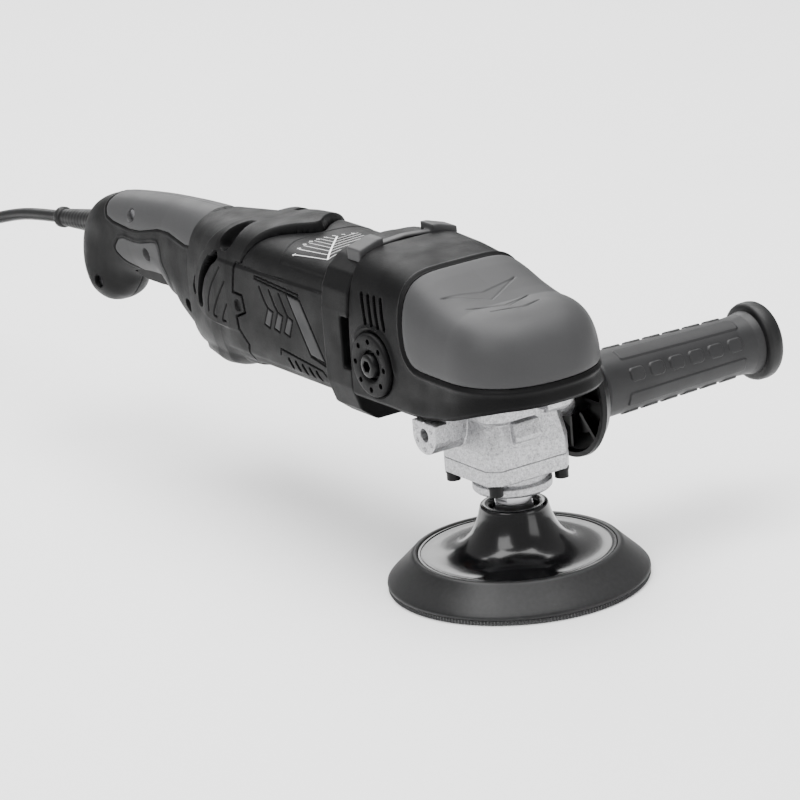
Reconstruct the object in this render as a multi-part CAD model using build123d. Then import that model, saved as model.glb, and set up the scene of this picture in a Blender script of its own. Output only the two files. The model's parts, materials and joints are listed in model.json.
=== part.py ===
from build123d import *
import math
import os

# Polisher: corded car polisher with a bevel-gear head and a direct spindle.
# Frame: +Z up along the spindle, origin at the pad's underside on the spindle axis,
# the long body runs towards +Y, the side handle towards +X. Millimetres.

# ---------------------------------------------------------------- driving dimensions
MOTOR_Z = 130.0            # height of the motor axis
PLATE_R = 75.0             # backing plate
BODY_R = 42.0              # motor housing, round section with flat flanks
BODY_FLAT = 39.0
WALL = 3.0
HANDLE_Y = 13.0            # side handle axis
HANDLE_Z = 95.0
BOSS_FACE = 48.4           # outer face of the two handle bosses
HANDLE_HOLE_R = 4.0
HANDLE_HOLE_DEPTH = 18.0
FLANGE_HALF = 28.4         # half width of the gear head's lower flange
FLANGE_Y0 = -22.5
FLANGE_Y1 = 31.0
PARTING_Z = 75.0
HOOD_HALF = 46.5
HOOD_NOSE_Y = -9.0         # centre of the hood's round nose
HOOD_REAR = 85.5
HOOD_SKIN = 5.5
PALM_SKIN = 2.8
HOUSING_REAR = 228.0
CROWN_TEETH = 30
PINION_TEETH = 10
CROWN_PITCH_R = 21.0
PINION_PITCH_R = CROWN_PITCH_R * PINION_TEETH / CROWN_TEETH
GEAR_FACE = 7.0
SHAFT_GAP = 0.03           # radial running clearance
CORD_D = 8.0
CORD_R = CORD_D / 2
COIL_X = -72.0             # centre of the stored coil on the floor
COIL_Y = 650.0
COIL_COLUMNS = 3
COIL_LAYERS = 4
COIL_MEAN_R = 48.0
CORD_ROUTE = [
    (0, 503, 121), (0, 532, 117.3), (-1, 561, 111), (-3, 590, 102.5), (-7, 619, 91.5),
    (-14, 646, 78), (-26, 670, 63), (-43, 688, 48.5), (-62, 698, 37.5), (-72, 704, 32),
]


def face_of(points):
    """Face inside a closed outline, wound so that its normal faces up."""
    area = 0.0
    for (x0, y0), (x1, y1) in zip(points, points[1:] + points[:1]):
        area += x0 * y1 - x1 * y0
    ordered = points if area > 0 else points[::-1]
    return Polygon(*ordered, align=None)


def about(axis_name, y=0.0, z=0.0, x=0.0):
    """Plane whose normal is the named axis, through the given point."""
    planes = {
        "x": Plane(origin=(x, y, z), x_dir=(0, 1, 0), z_dir=(1, 0, 0)),
        "y": Plane(origin=(x, y, z), x_dir=(1, 0, 0), z_dir=(0, 1, 0)),
        "z": Plane(origin=(x, y, z), x_dir=(1, 0, 0), z_dir=(0, 0, 1)),
    }
    return planes[axis_name]


def rod(axis_name, start, length, radius, x=0.0, y=0.0, z=0.0):
    """Cylinder along an axis from start; the other two coordinates place it."""
    place = {"x": x, "y": y, "z": z}
    place[axis_name] = start
    plane = about(axis_name, y=place["y"], z=place["z"], x=place["x"])
    return extrude(plane * Circle(radius), length)


def ring(axis_name, start, length, r_out, r_in, x=0.0, y=0.0, z=0.0):
    """Plain bush along an axis."""
    place = {"x": x, "y": y, "z": z}
    place[axis_name] = start
    plane = about(axis_name, y=place["y"], z=place["z"], x=place["x"])
    return extrude(plane * (Circle(r_out) - Circle(r_in)), length)


def block(x0, x1, y0, y1, z0, z1):
    """Axis-aligned box between two corners."""
    centre = ((x0 + x1) / 2, (y0 + y1) / 2, (z0 + z1) / 2)
    return Pos(*centre) * Box(x1 - x0, y1 - y0, z1 - z0)


def turned_z(profile):
    """Solid turned about Z from (radius, z) points."""
    return revolve(Plane.XZ * face_of(profile), Axis.Z)


def turned_x(profile, y, z):
    """Solid turned about the X direction from (x, radius) points."""
    outline = Plane.XY * face_of(profile)
    return Pos(0, y, z) * revolve(outline, Axis.X)


def turned_y(profile, z=MOTOR_Z):
    """Solid turned about the motor axis from (y, radius) points."""
    outline = Plane.XY * face_of([(r, y) for y, r in profile])
    return Pos(0, 0, z) * revolve(outline, Axis.Y)


def side_slab(points, x0, x1):
    """Extrusion of a (y, z) outline from x0 to x1."""
    return extrude(about("x", x=x0) * face_of(points), x1 - x0)


def flip_x(shape):
    """Mirror image across the middle plane."""
    return mirror(shape, Plane.YZ)


def both_sides(shape):
    """A right-hand shape and its mirror image as one group."""
    return Compound([shape.solid(), flip_x(shape).solid()])


def group(shapes):
    """Separate solids in one node."""
    solids = []
    for shape in shapes:
        solids.extend(shape.solids())
    return Compound(solids)


def save(name, shape):
    """Write one node."""
    solids = shape.solids()
    result = solids[0] if len(solids) == 1 else Compound(list(solids))
    export_step(result, f"parts/{name}.step")


# ---------------------------------------------------------------- backing plate
HOOK_T = 2.5
RIM_TOP = 20.0
DISC_R = 56.8
HUB_TOP = 46.6
HUB_R = 19.0
NUT_R = 11.0
NUT_BASE = 24.0


def hook_face():
    return rod("z", 0, HOOK_T, PLATE_R - 0.8)


def plate_skirt():
    profile = [
        (0, HOOK_T), (PLATE_R - 0.4, HOOK_T), (PLATE_R, HOOK_T + 1.0), (PLATE_R - 0.3, HOOK_T + 2.6),
        (60.2, RIM_TOP - 0.6), (59.2, RIM_TOP), (57.4, RIM_TOP), (DISC_R + 0.1, RIM_TOP - 1.0),
        (DISC_R + 0.1, 14), (0, 14),
    ]
    return turned_z(profile)


def plate_hub():
    profile = [
        (0, 14), (DISC_R, 14), (DISC_R, 18.4), (DISC_R - 0.8, 19.2), (DISC_R - 3.4, 19.2),
        (DISC_R - 3.8, 18.7), (DISC_R - 4.6, 18.7), (48, 19.0), (42, 19.6), (36, 21.2), (30.5, 24.2),
        (26, 28.6), (22.8, 34.4), (20.6, 40.5), (19.6, 44.6), (HUB_R, HUB_TOP), (14.2, HUB_TOP),
        (13.4, HUB_TOP - 0.8), (13.4, HUB_TOP - 4.0), (NUT_R, HUB_TOP - 4.0), (NUT_R, NUT_BASE),
        (0, NUT_BASE),
    ]
    return turned_z(profile)


def plate_nut():
    body = ring("z", NUT_BASE, HUB_TOP - 4.0 - NUT_BASE, NUT_R, 7.0 + SHAFT_GAP)
    head = extrude(Pos(0, 0, HUB_TOP - 4.0) * RegularPolygon(12.2, 6), 4.6)
    head -= rod("z", HUB_TOP - 6, 10, 7.0 + SHAFT_GAP)
    return body + head


# ---------------------------------------------------------------- spindle and bevel gears
SPINDLE_TOP = 138.5
GEAR_DEPTH = 20.5          # crown gear's back face below the cone apex
GEAR_SEAT = MOTOR_Z - GEAR_DEPTH
LOCK_HOLES = 12
LOCK_Z = 113.4


def spindle():
    profile = [
        (0, 26), (6.2, 26), (7.0, 26.8), (7.0, 48.2), (10.4, 48.2), (10.4, 55.6), (8.5, 55.6),
        (8.5, 61.0), (7.5, 61.0), (7.5, 73.0), (8.6, 73.0), (8.6, GEAR_SEAT), (7.0, GEAR_SEAT),
        (7.0, 119.0), (5.0, 119.0), (5.0, SPINDLE_TOP), (0, SPINDLE_TOP),
    ]
    shaft = turned_z(profile)
    for side in (-1, 1):
        shaft -= block(8.6 * side - 1.6 + 1.6 * side, 8.6 * side + 1.6 + 1.6 * side,
                       -12, 12, 49.6, 54.4)
    return shaft


def bevel_tooth(pitch_r, apex_distance):
    """One straight tooth as a block tapering to the cone apex at the origin."""
    delta = math.atan2(pitch_r, apex_distance)
    normal = (math.cos(delta), -math.sin(delta))
    addendum = 1.15
    dedendum = 1.75
    keep = 1 - GEAR_FACE / math.hypot(pitch_r, apex_distance)
    corners = []
    for side, height, half in ((-1, -dedendum, 1.02), (1, -dedendum, 1.02),
                               (1, addendum, 0.34), (-1, addendum, 0.34)):
        corners.append((pitch_r + height * normal[0], side * half,
                        apex_distance + height * normal[1]))
    outer = Wire.make_polygon([Vector(*c) for c in corners])
    inner = Wire.make_polygon([Vector(*c) * keep for c in corners])
    return Solid.make_loft([outer, inner], ruled=True)


def bevel_gear(teeth, pitch_r, apex_distance, hub_end, bore_r):
    """Gear along +Z away from its cone apex at the origin."""
    delta = math.atan2(pitch_r, apex_distance)
    keep = 1 - GEAR_FACE / math.hypot(pitch_r, apex_distance)
    root = (pitch_r - 1.5 * math.cos(delta), apex_distance + 1.5 * math.sin(delta))
    inner = (root[0] * keep, root[1] * keep)
    outline = [(bore_r, inner[1]), inner, root, (root[0], hub_end), (bore_r, hub_end)]
    gear = turned_z(outline)
    tooth = bevel_tooth(pitch_r, apex_distance)
    copies = [Rot(0, 0, 360 * i / teeth) * tooth for i in range(teeth)]
    return gear + copies


def crown_gear():
    """Driven gear: its cone apex sits where the two shafts' axes cross."""
    gear = bevel_gear(CROWN_TEETH, CROWN_PITCH_R, PINION_PITCH_R, GEAR_DEPTH, 7.0)
    placed = Pos(0, 0, MOTOR_Z) * (Rot(180, 0, 0) * (Rot(0, 0, 90) * gear))
    for i in range(LOCK_HOLES):
        turn = Rot(0, 0, 360 * i / LOCK_HOLES)
        hole = turn * rod("y", -24, 9.0, 2.3, z=LOCK_Z)
        placed -= hole
    return placed


def bevel_pinion():
    gear = bevel_gear(PINION_TEETH, PINION_PITCH_R, CROWN_PITCH_R, 27.0, 3.2)
    turned = Rot(-90, 0, 0) * gear
    half_pitch = 180 / PINION_TEETH
    return Pos(0, 0, MOTOR_Z) * (Rot(0, 90 + half_pitch, 0) * turned)


def ball_bearing(axis_name, start, length, r_out, r_in, count, **place):
    """Outer ring, inner ring and balls as separate solids."""
    mid = (r_out + r_in) / 2
    ball_r = (r_out - r_in) * 0.24
    outer = ring(axis_name, start, length, r_out, mid + ball_r * 0.55, **place)
    inner = ring(axis_name, start, length, mid - ball_r * 0.55, r_in, **place)
    centre = {"x": 0.0, "y": 0.0, "z": 0.0}
    centre.update(place)
    centre[axis_name] = start + length / 2
    plane = about(axis_name, y=centre["y"], z=centre["z"], x=centre["x"])
    balls = []
    for i in range(count):
        angle = 360 * i / count
        balls.append(plane.location * (Rot(0, 0, angle) * (Pos(mid, 0, 0) * Sphere(ball_r))))
    groove = Plane.XZ * (Pos(mid, 0) * Circle(ball_r + 0.06))
    track = plane.location * revolve(groove, Axis.Z)
    return group([outer - track, inner - track] + balls)


# ---------------------------------------------------------------- gear head
def flange_outline(inset=0.0):
    """Square flange with cut corners, as (x, y) points."""
    half = FLANGE_HALF - inset
    y0 = FLANGE_Y0 + inset
    y1 = FLANGE_Y1 - inset
    cut = 6.0
    return [
        (-half + cut, y0), (half - cut, y0), (half, y0 + cut), (half, y1 - cut),
        (half - cut, y1), (-half + cut, y1), (-half, y1 - cut), (-half, y0 + cut),
    ]


FLANGE_SCREWS = [(-22.6, -16.6), (22.6, -16.6), (-22.6, 25.1), (22.6, 25.1)]
GEARCASE_SCREWS = [(-28.0, 104.0), (28.0, 104.0), (-28.0, 156.0), (28.0, 156.0)]
DIMPLES = 6
LOCK_X = 0.0


def handle_boss():
    """Right-hand boss for the side handle, a block with a round underside."""
    boss = rod("x", 20, BOSS_FACE - 20, 11.2, y=HANDLE_Y, z=HANDLE_Z)
    boss += block(20, BOSS_FACE, HANDLE_Y - 11.2, HANDLE_Y + 11.2, HANDLE_Z, 102.5)
    boss &= block(0, 60, -20, 40, 60, 102.5)
    return boss + block(20, 40, HANDLE_Y - 11.2, HANDLE_Y + 11.2, 102.5, 118)


def handle_socket():
    """Tapped hole and dimples cut into the right-hand boss."""
    cut = rod("x", BOSS_FACE - HANDLE_HOLE_DEPTH, HANDLE_HOLE_DEPTH + 1, HANDLE_HOLE_R,
              y=HANDLE_Y, z=HANDLE_Z)
    for i in range(DIMPLES):
        angle = math.radians(30 + 360 * i / DIMPLES)
        cut += rod("x", BOSS_FACE - 1.2, 3, 1.3, y=HANDLE_Y + 8.0 * math.cos(angle),
                   z=HANDLE_Z + 8.0 * math.sin(angle))
    return cut


CHAMBER_R = 24.2           # gear chamber
CHAMBER_Z = 108.0
BEARING_WELL_R = 18.6


def gear_case_outside():
    """Casting above the parting line: straight foot, tapering waist, wide top."""
    foot = extrude(Pos(0, 0, PARTING_Z) * face_of(flange_outline()), 10)
    low = Pos(0, 0, PARTING_Z + 9.9) * face_of(flange_outline())
    high = Pos(0, 0, 112) * face_of(flange_outline(4.5))
    waist = loft([low, high], ruled=True)
    top = fillet(block(-31, 31, -29, 44, 103, 150).edges().filter_by(Axis.Z), 12)
    top = chamfer(top.faces().sort_by(Axis.Z)[0].edges(), 2.5)
    top -= block(-17, 8, -31, -24, 100, 112)
    lug = side_slab([(-20, 88), (-25.6, 90.5), (-26.2, 93), (-23.5, 101), (-18, 102)], -13, 5)
    return foot + waist + top + lug


def gear_housing():
    neck = rod("y", 36, 18, 34, z=MOTOR_Z) & block(-33, 33, 36, 54, 96, 160)
    rear = rod("y", 48, 8, 39.5, z=MOTOR_Z) & block(-36.5, 36.5, 48, 56, 90, 169)
    body = gear_case_outside() + neck + rear + handle_boss() + flip_x(handle_boss())
    body -= rod("z", PARTING_Z - 1, CHAMBER_Z - PARTING_Z + 2, BEARING_WELL_R)
    body -= rod("z", CHAMBER_Z, 138.9 - CHAMBER_Z, CHAMBER_R)
    body += ring("z", 126.2, 14.8, 9.6, 7.02)
    body -= rod("z", 126, 13.0, 7.02)
    body -= rod("y", 12, 20, 10.2, z=MOTOR_Z) - rod("z", 110, 40, 9.6)
    body -= rod("y", 31, 10.0, 13.02, z=MOTOR_Z)
    body -= rod("y", 40, 18, 10.6, z=MOTOR_Z)
    body -= rod("y", 47, 10, 31, z=MOTOR_Z)
    body -= rod("y", -34, 14, 3.4, x=LOCK_X, z=LOCK_Z)
    body -= handle_socket() + flip_x(handle_socket())
    for x, y in FLANGE_SCREWS:
        body -= rod("z", PARTING_Z - 1, 15, 2.5, x=x, y=y)
    for x, z in GEARCASE_SCREWS:
        body -= rod("y", 44, 13, 2.5, x=x, z=z)
    return body.solids().sort_by(SortBy.VOLUME)[-1]


def bearing_flange():
    plate = extrude(Pos(0, 0, 66) * face_of(flange_outline()), 9)
    collar = turned_z([(0, 55.8), (21.6, 55.8), (22.8, 57), (22.8, 61), (20.4, 62.5), (21, 66), (0, 66)])
    body = plate + collar
    body -= rod("z", 61.5, 14, 16.02)
    body -= rod("z", 50, 20, 12.5)
    for x, y in FLANGE_SCREWS:
        body -= rod("z", 60, 20, 2.5, x=x, y=y)
    return body


def cap_screw(length, shank_r=2.5, head_r=4.0, head_h=4.6):
    """Socket cap screw: head below the origin, shank along +Z."""
    head = Pos(0, 0, -head_h) * extrude(Circle(head_r), head_h)
    head -= extrude(Pos(0, 0, -head_h) * RegularPolygon(2.3, 6), 2.6)
    return head + extrude(Circle(shank_r), length)


def gear_head_screws():
    """Four screws from below and four from behind."""
    turned = Rot(90, 0, 0)
    screws = [Pos(x, y, 64.4) * cap_screw(23) for x, y in FLANGE_SCREWS]
    screws += [Pos(x, 61.0, z) * (turned * cap_screw(16.0)) for x, z in GEARCASE_SCREWS]
    return group(screws)


def flange_washers():
    return group([ring("z", 64.4, 1.6, 4.5, 2.5, x=x, y=y) for x, y in FLANGE_SCREWS])


# ---------------------------------------------------------------- hood and palm rest
HOOD_SECTION = [
    (HOOD_HALF, 150), (HOOD_HALF - 1.5, 162), (HOOD_HALF - 6.5, 172.5), (HOOD_HALF - 15, 179.5),
    (20, 183), (0, 184.5),
]                          # right half of the section across the body, (x, z)


def hood_form(inset, floor_z=None):
    """The hood's full outer form, drawn inwards by inset; floor_z opens it below."""
    plan = Pos(0, (HOOD_NOSE_Y + HOOD_REAR) / 2) * Rectangle(2 * HOOD_HALF, HOOD_REAR - HOOD_NOSE_Y)
    plan += Pos(0, HOOD_NOSE_Y) * Circle(HOOD_HALF)
    nose = HOOD_NOSE_Y - HOOD_HALF
    top = [
        (nose, 131), (nose + 2.5, 146), (nose + 8, 158), (nose + 18, 163.5), (-24, 165),
        (-6, 166.5), (10, 171.5), (24, 177.5), (38, 181), (60, 184), (HOOD_REAR, 185.5),
    ]
    if floor_z is None:
        under = [(HOOD_REAR, 102), (12, 104), (-14, 109), (-32, 114.5), (nose, 118.5)]
    else:
        under = [(HOOD_REAR + 30, floor_z), (nose, floor_z)]
        top = top + [(HOOD_REAR + 30, 185.5)]
    front = [(HOOD_HALF, 40)] + HOOD_SECTION
    front += [(-x, z) for x, z in front[-2::-1]]
    side = face_of(top + under)
    section = face_of(front)
    if floor_z is not None:
        plan += Pos(0, HOOD_REAR + 10) * Rectangle(2 * HOOD_HALF, 30)
    if inset:
        plan = offset(plan, -inset)
        side = offset(side, -inset, kind=Kind.INTERSECTION)
        section = offset(section, -inset, kind=Kind.INTERSECTION)
    form = extrude(Pos(0, 0, 30) * plan, 200)
    form &= extrude(about("x", x=-70) * side, 140)
    back = Plane(origin=(0, 130, 0), x_dir=(1, 0, 0), z_dir=(0, -1, 0))
    return form & extrude(back * section, 240)


def palm_region():
    """Side view of the soft cover's area, through the full width."""
    corner = [(-80, 131), (14, 131), (24, 134), (30, 141), (33, 152), (33, 200), (-80, 200)]
    return side_slab(corner, -60, 60)


def palm_zone():
    return palm_region() & (hood_form(-0.5) - hood_form(PALM_SKIN, floor_z=60))


def hood():
    shell = hood_form(0) - hood_form(HOOD_SKIN, floor_z=60)
    shell -= palm_zone()
    for side in (-1, 1):
        for i in range(4):
            y = 71.5 - 6.4 * i
            slot = side_slab([(y, 148), (y + 2.4, 148), (y + 5.2, 166), (y + 2.8, 166)], -5, 5)
            shell -= Pos(side * HOOD_HALF, 0, 0) * slot
        shell -= rod("x", side * 50 - 12, 24, 5.2, y=DISC_Y, z=DISC_Z)
    return shell.solids().sort_by(SortBy.VOLUME)[-1]


def palm_rest():
    cover = palm_region() & (hood_form(0) - hood_form(PALM_SKIN, floor_z=60))
    return cover.solids().sort_by(SortBy.VOLUME)[-1]


DISC_Y = 62.0
DISC_Z = 125.5
DISC_PLATE_R = 18.6


def hood_discs():
    disc = ring("x", HOOD_HALF, 4.2, DISC_PLATE_R, 8.6, y=DISC_Y, z=DISC_Z)
    for i in range(8):
        angle = math.radians(45 * i)
        disc -= rod("x", HOOD_HALF + 2.6, 3, 1.7, y=DISC_Y + 14.4 * math.cos(angle),
                    z=DISC_Z + 14.4 * math.sin(angle))
    return both_sides(disc)


def hood_bolts():
    head = rod("x", HOOD_HALF, 5.4, 7.0, y=DISC_Y, z=DISC_Z)
    shank = rod("x", 37.5, HOOD_HALF - 37.5, 5.2, y=DISC_Y, z=DISC_Z)
    socket = extrude(about("x", x=HOOD_HALF + 1.4, y=DISC_Y, z=DISC_Z) * RegularPolygon(3.6, 6), 6)
    return both_sides(head + shank - socket)


# ---------------------------------------------------------------- motor housing and collar
def body_section(radius, flat, y0, y1):
    """Round bar about the motor axis with flat flanks."""
    bar = rod("y", y0, y1 - y0, radius, z=MOTOR_Z)
    return bar & block(-flat, flat, y0, y1, MOTOR_Z - radius - 1, MOTOR_Z + radius + 1)


# side view of the motor housing's extent, with the joint's jog round the case screw
SEAM = [(212, 60), (212, 97), (208.6, 104.8), (217.3, 113.4), (218.5, 120.6), (208.4, 124.9),
        (210.6, 134.8), (220.7, 135.4), (217.8, 152.5), (203, 167), (180, 178), (180, 200), (40, 200),
        (40, 60)]


def motor_housing():
    outer = body_section(BODY_R, BODY_FLAT, 84, HOUSING_REAR)
    outer &= side_slab(SEAM, -60, 60)
    outer += body_section(38.6, 36.5, 56.5, 88)
    outer -= body_section(BODY_R - WALL, BODY_FLAT - WALL, 96, 260)
    outer -= rod("y", 50, 60, 35.2, z=MOTOR_Z)
    for side in (-1, 1):
        for i in range(6):
            y = 130 + 7.2 * i
            outer -= Pos(side * BODY_FLAT, y, 106) * Box(12, 3.2, 7)
    for x, z in GEARCASE_SCREWS:
        outer -= rod("y", 55, 12, 4.4, x=x, z=z)
        outer += ring("y", 56.5, 4.5, 5.6, 2.5, x=x, z=z)
    return outer.solids().sort_by(SortBy.VOLUME)[-1]


COLLAR_Y0 = HOOD_REAR + 0.5
COLLAR_Y1 = 113.0


def collar_form(grow, y0, y1):
    """Band round the housing with the hood's own section, grown outwards."""
    half = [(0, 84), (31, 84), (41.5, 92), (HOOD_HALF, 106)] + HOOD_SECTION
    outline = half + [(-x, z) for x, z in half[-2:0:-1]]
    section = face_of(outline)
    if grow:
        section = offset(section, grow, kind=Kind.INTERSECTION)
    start = Plane(origin=(0, y1, 0), x_dir=(1, 0, 0), z_dir=(0, -1, 0))
    return extrude(start * section, y1 - y0)


def front_collar():
    band = collar_form(0, COLLAR_Y0, COLLAR_Y1) - body_section(BODY_R, BODY_FLAT, 80, 120)
    for side in (-1, 1):
        band -= block(side * 46 - 8, side * 46 + 8, COLLAR_Y0 - 1, COLLAR_Y0 + 8, 117, 148)
    return band


def top_bumper():
    """Two soft tabs joined by a thin bar over the top of the collar."""
    tall = collar_form(6.0, COLLAR_Y0 + 0.5, COLLAR_Y0 + 14) & block(-60, 60, 80, 120, 160, 200)
    slim = collar_form(2.2, COLLAR_Y0 + 3, COLLAR_Y0 + 9) & block(-30, 30, 80, 120, 160, 200)
    tabs = tall & block(-34, -17, 80, 120, 150, 200)
    tabs += tall & block(17, 34, 80, 120, 150, 200)
    return tabs + slim - collar_form(0, 80, 120)


# ---------------------------------------------------------------- motor
SHAFT_R = 5.0


def armature_shaft():
    return turned_y([
        (13.6, 0), (13.6, 3.2), (27.2, 3.2), (27.2, 6.0), (31, 6.0), (31, SHAFT_R), (216, SHAFT_R),
        (216, 4.0), (240, 4.0), (240, 0),
    ])


def armature_core():
    core = ring("y", 122, 44, 21.0, SHAFT_R, z=MOTOR_Z)
    for i in range(12):
        turn = Pos(0, 0, MOTOR_Z) * Rot(0, 30 * i, 0)
        core -= turn * block(-1.1, 1.1, 121, 168, 16.5, 22)
    return core


def armature_windings():
    front = turned_y([(104, SHAFT_R), (104, 15.0), (110, 18.0), (122, 18.0), (122, SHAFT_R)])
    rear = turned_y([(166, SHAFT_R), (166, 18.0), (176, 18.0), (182, 14.0), (182, SHAFT_R)])
    return group([front, rear])


def commutator():
    drum = ring("y", 186, 24, 13.5, SHAFT_R, z=MOTOR_Z)
    for i in range(24):
        turn = Pos(0, 0, MOTOR_Z) * Rot(0, 15 * i, 0)
        drum -= turn * block(-0.3, 0.3, 189, 211, 12.6, 14)
    return drum


def cooling_fan():
    fan = ring("y", 66, 2.2, 32.0, SHAFT_R, z=MOTOR_Z) + ring("y", 60, 20, 9.0, SHAFT_R, z=MOTOR_Z)
    for i in range(9):
        turn = Pos(0, 0, MOTOR_Z) * Rot(0, 40 * i, 0)
        fan += turn * (Pos(0, 71, 20) * (Rot(0, 0, 24) * Box(1.6, 10, 22)))
    return fan


def stator_core():
    core = body_section(35.8, 35.4, 120, 168)
    return core - rod("y", 119, 50, 21.9, z=MOTOR_Z)


def field_windings():
    saddle = turned_y([(106, 23.5), (106, 33), (119.9, 34.5), (119.9, 23.5)])
    saddle += turned_y([(168.1, 23.5), (168.1, 34.5), (181, 33), (181, 23.5)])
    cheeks = block(-34, 34, 100, 190, MOTOR_Z + 9, MOTOR_Z + 40)
    cheeks += block(-34, 34, 100, 190, MOTOR_Z - 40, MOTOR_Z - 9)
    return group([saddle & cheeks])


def brush_holders():
    holder = block(14.6, 35.4, 191, 205, MOTOR_Z - 6.5, MOTOR_Z + 6.5)
    holder -= block(14, 33.4, 193.9, 202.1, MOTOR_Z - 4.1, MOTOR_Z + 4.1)
    return both_sides(holder)


def carbon_brushes():
    return both_sides(block(13.6, 26, 194, 202, MOTOR_Z - 4, MOTOR_Z + 4))


def brush_springs():
    spring = Pos(0, 198, MOTOR_Z) * ring("x", 26, 7.4, 3.4, 2.4)
    return both_sides(spring)


def bearing_bracket():
    plate = body_section(37.2, 35.4, 221, 225)
    plate -= body_section(33, 31, 220, 226)
    plate += rod("y", 221, 14, 14.5, z=MOTOR_Z)
    plate += block(-35, 35, 221, 225, MOTOR_Z - 5, MOTOR_Z + 5)
    plate += block(-5, 5, 221, 225, MOTOR_Z - 36, MOTOR_Z + 36)
    plate -= rod("y", 224.5, 20, 11.02, z=MOTOR_Z)
    return plate - rod("y", 215, 30, 8.6, z=MOTOR_Z)


# ---------------------------------------------------------------- rear cover and handle
def body_ring(y, half_w, z0, z1, corner):
    """Rounded section across the body at one station."""
    plane = Plane(origin=(0, y, (z0 + z1) / 2), x_dir=(1, 0, 0), z_dir=(0, -1, 0))
    return plane * RectangleRounded(2 * half_w, z1 - z0, corner)


def rear_form(inset=0.0):
    stations = [(174, 39, 88, 172, 36), (228, 39, 87, 172, 34), (256, 36.5, 79, 170, 30),
                (289, 29.5, 79, 167, 24)]
    sections = [body_ring(y, w - inset, z0 + inset, z1 - inset, c - inset)
                for y, w, z0, z1, c in stations]
    return loft(sections, ruled=True)


def ring_band():
    """The raised ring that leans back from the top of the cover."""
    lean = [(176, 186), (200, 186), (296, 100), (296, 66), (272, 66), (262, 100), (236, 140)]
    band = Plane(origin=(0, 0, 0), x_dir=(0, 1, 0), z_dir=(1, 0, 0)) * face_of(lean)
    form = [body_ring(y, w, z0, z1, c) for y, w, z0, z1, c in
            ((174, 42, 83, 179, 40), (228, 42, 83, 176, 38), (256, 39.5, 76, 173, 33),
             (289, 33.0, 74.5, 170, 26))]
    return extrude(band, 60, both=True) & loft(form, ruled=True)


def rear_cover():
    seam_cut = side_slab(SEAM, -60, 60)
    body = rear_form() - seam_cut
    body += ring_band() - seam_cut
    foot = [(214, 92), (218, 80), (230, 74.5), (250, 73), (276, 73.8), (289, 76), (289, 100)]
    body += side_slab(foot, -21, 21) - seam_cut
    inner = [body_ring(y, w - WALL, z0 + WALL, z1 - WALL, c - WALL) for y, w, z0, z1, c in
             ((170, 39, 88, 172, 36), (228, 39, 87, 172, 34), (256, 36.5, 79, 170, 30),
              (296, 28.5, 79, 167, 24))]
    body -= loft(inner, ruled=True)
    for side in (-1, 1):
        body -= rod("x", side * 38 - 8, 16, 6.0, y=238, z=159)
        for i in range(3):
            slot = side_slab([(274 - 9 * i, 116), (278 - 9 * i, 116), (270 - 9 * i, 146),
                              (266 - 9 * i, 146)], -9, 9)
            body -= Pos(side * 35, 0, 0) * slot
        body -= rod("x", side * 38 - 5, 10, 3.2, y=CASE_SCREW_Y, z=CASE_SCREW_Z)
    return body.solids().sort_by(SortBy.VOLUME)[-1]


HANDLE_OUTLINE = [
    (289.5, 165.5), (321, 164.5), (355, 162), (389, 158), (412, 154), (430, 148), (441, 140),
    (448, 130), (452, 115), (452, 102), (447, 90.5), (439, 83), (425, 80.5), (411, 86), (400, 95),
    (392, 105), (378, 108.5), (360, 110), (349, 108), (338, 99), (318, 86), (306, 80), (289.5, 79),
]
TRIGGER_SLOT = [(332, 80), (391, 80), (391, 119), (332, 119)]
TRIGGER_Y = 338.0
TRIGGER_Z = 113.5
LOCK_ON_Y = 404.0
LOCK_ON_Z = 128.0
PIN_HALF = 15.5            # half length of the trigger pin
AXLE_HALF = 14.4           # half length of the dial's axle
SCREW_HEAD_X = 14.2        # screw heads' outer face, left of the middle plane
SCREW_TIP = 10.4
CASE_SCREW_Y = 216.0
CASE_SCREW_Z = 128.0
DIAL_Y = 441.5
DIAL_Z = 100.0
DIAL_R = 12.0
BOOT_Y = 447.0
BOOT_Z = 127.6
BOOT_TILT = 7.0
BOOT_ROOT = -12.0          # the boot starts this far inside the handle
BOOT_LENGTH = 60.0


def handle_form(inset=0.0):
    """Whole handle as one solid, drawn inwards by inset."""
    side = face_of(HANDLE_OUTLINE)
    plan = face_of([(-26.5, 280), (26.5, 280), (26.5, 290), (19.5, 340), (17.5, 380), (17.5, 470),
                    (-17.5, 470), (-17.5, 380), (-19.5, 340), (-26.5, 290)])
    if inset:
        side = offset(side, -inset, kind=Kind.INTERSECTION)
        plan = offset(plan, -inset, kind=Kind.INTERSECTION)
    form = extrude(about("x", x=-40) * side, 80) & extrude(Pos(0, 0, 60) * plan, 120)
    return form


def grip_regions():
    """Side views of the soft inlays, from the middle plane outwards."""
    top = side_slab([(402, 143), (369, 140), (333, 148), (296, 144), (290.5, 160), (290.5, 172),
                     (440, 172), (424, 146)], 0, 30)
    side = side_slab([(389, 133), (367, 132.4), (341, 138), (337, 127), (330, 119), (330, 116.5),
                      (359, 118), (375, 117), (386, 122), (392, 128)], 0, 30)
    return [top, side]


def handle_skin():
    return handle_form() - handle_form(1.6)


def boot_axis_plane(distance=0.0):
    """Plane across the cord boot, distance along its axis from the root."""
    tilt = math.radians(BOOT_TILT)
    direction = (0, math.cos(tilt), -math.sin(tilt))
    origin = (0, BOOT_Y + distance * direction[1], BOOT_Z + distance * direction[2])
    return Plane(origin=origin, x_dir=(1, 0, 0), z_dir=direction)


def handle_screw_places():
    return [(376, 148), (357, 127), (424, 96), (304, 106)]


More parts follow.
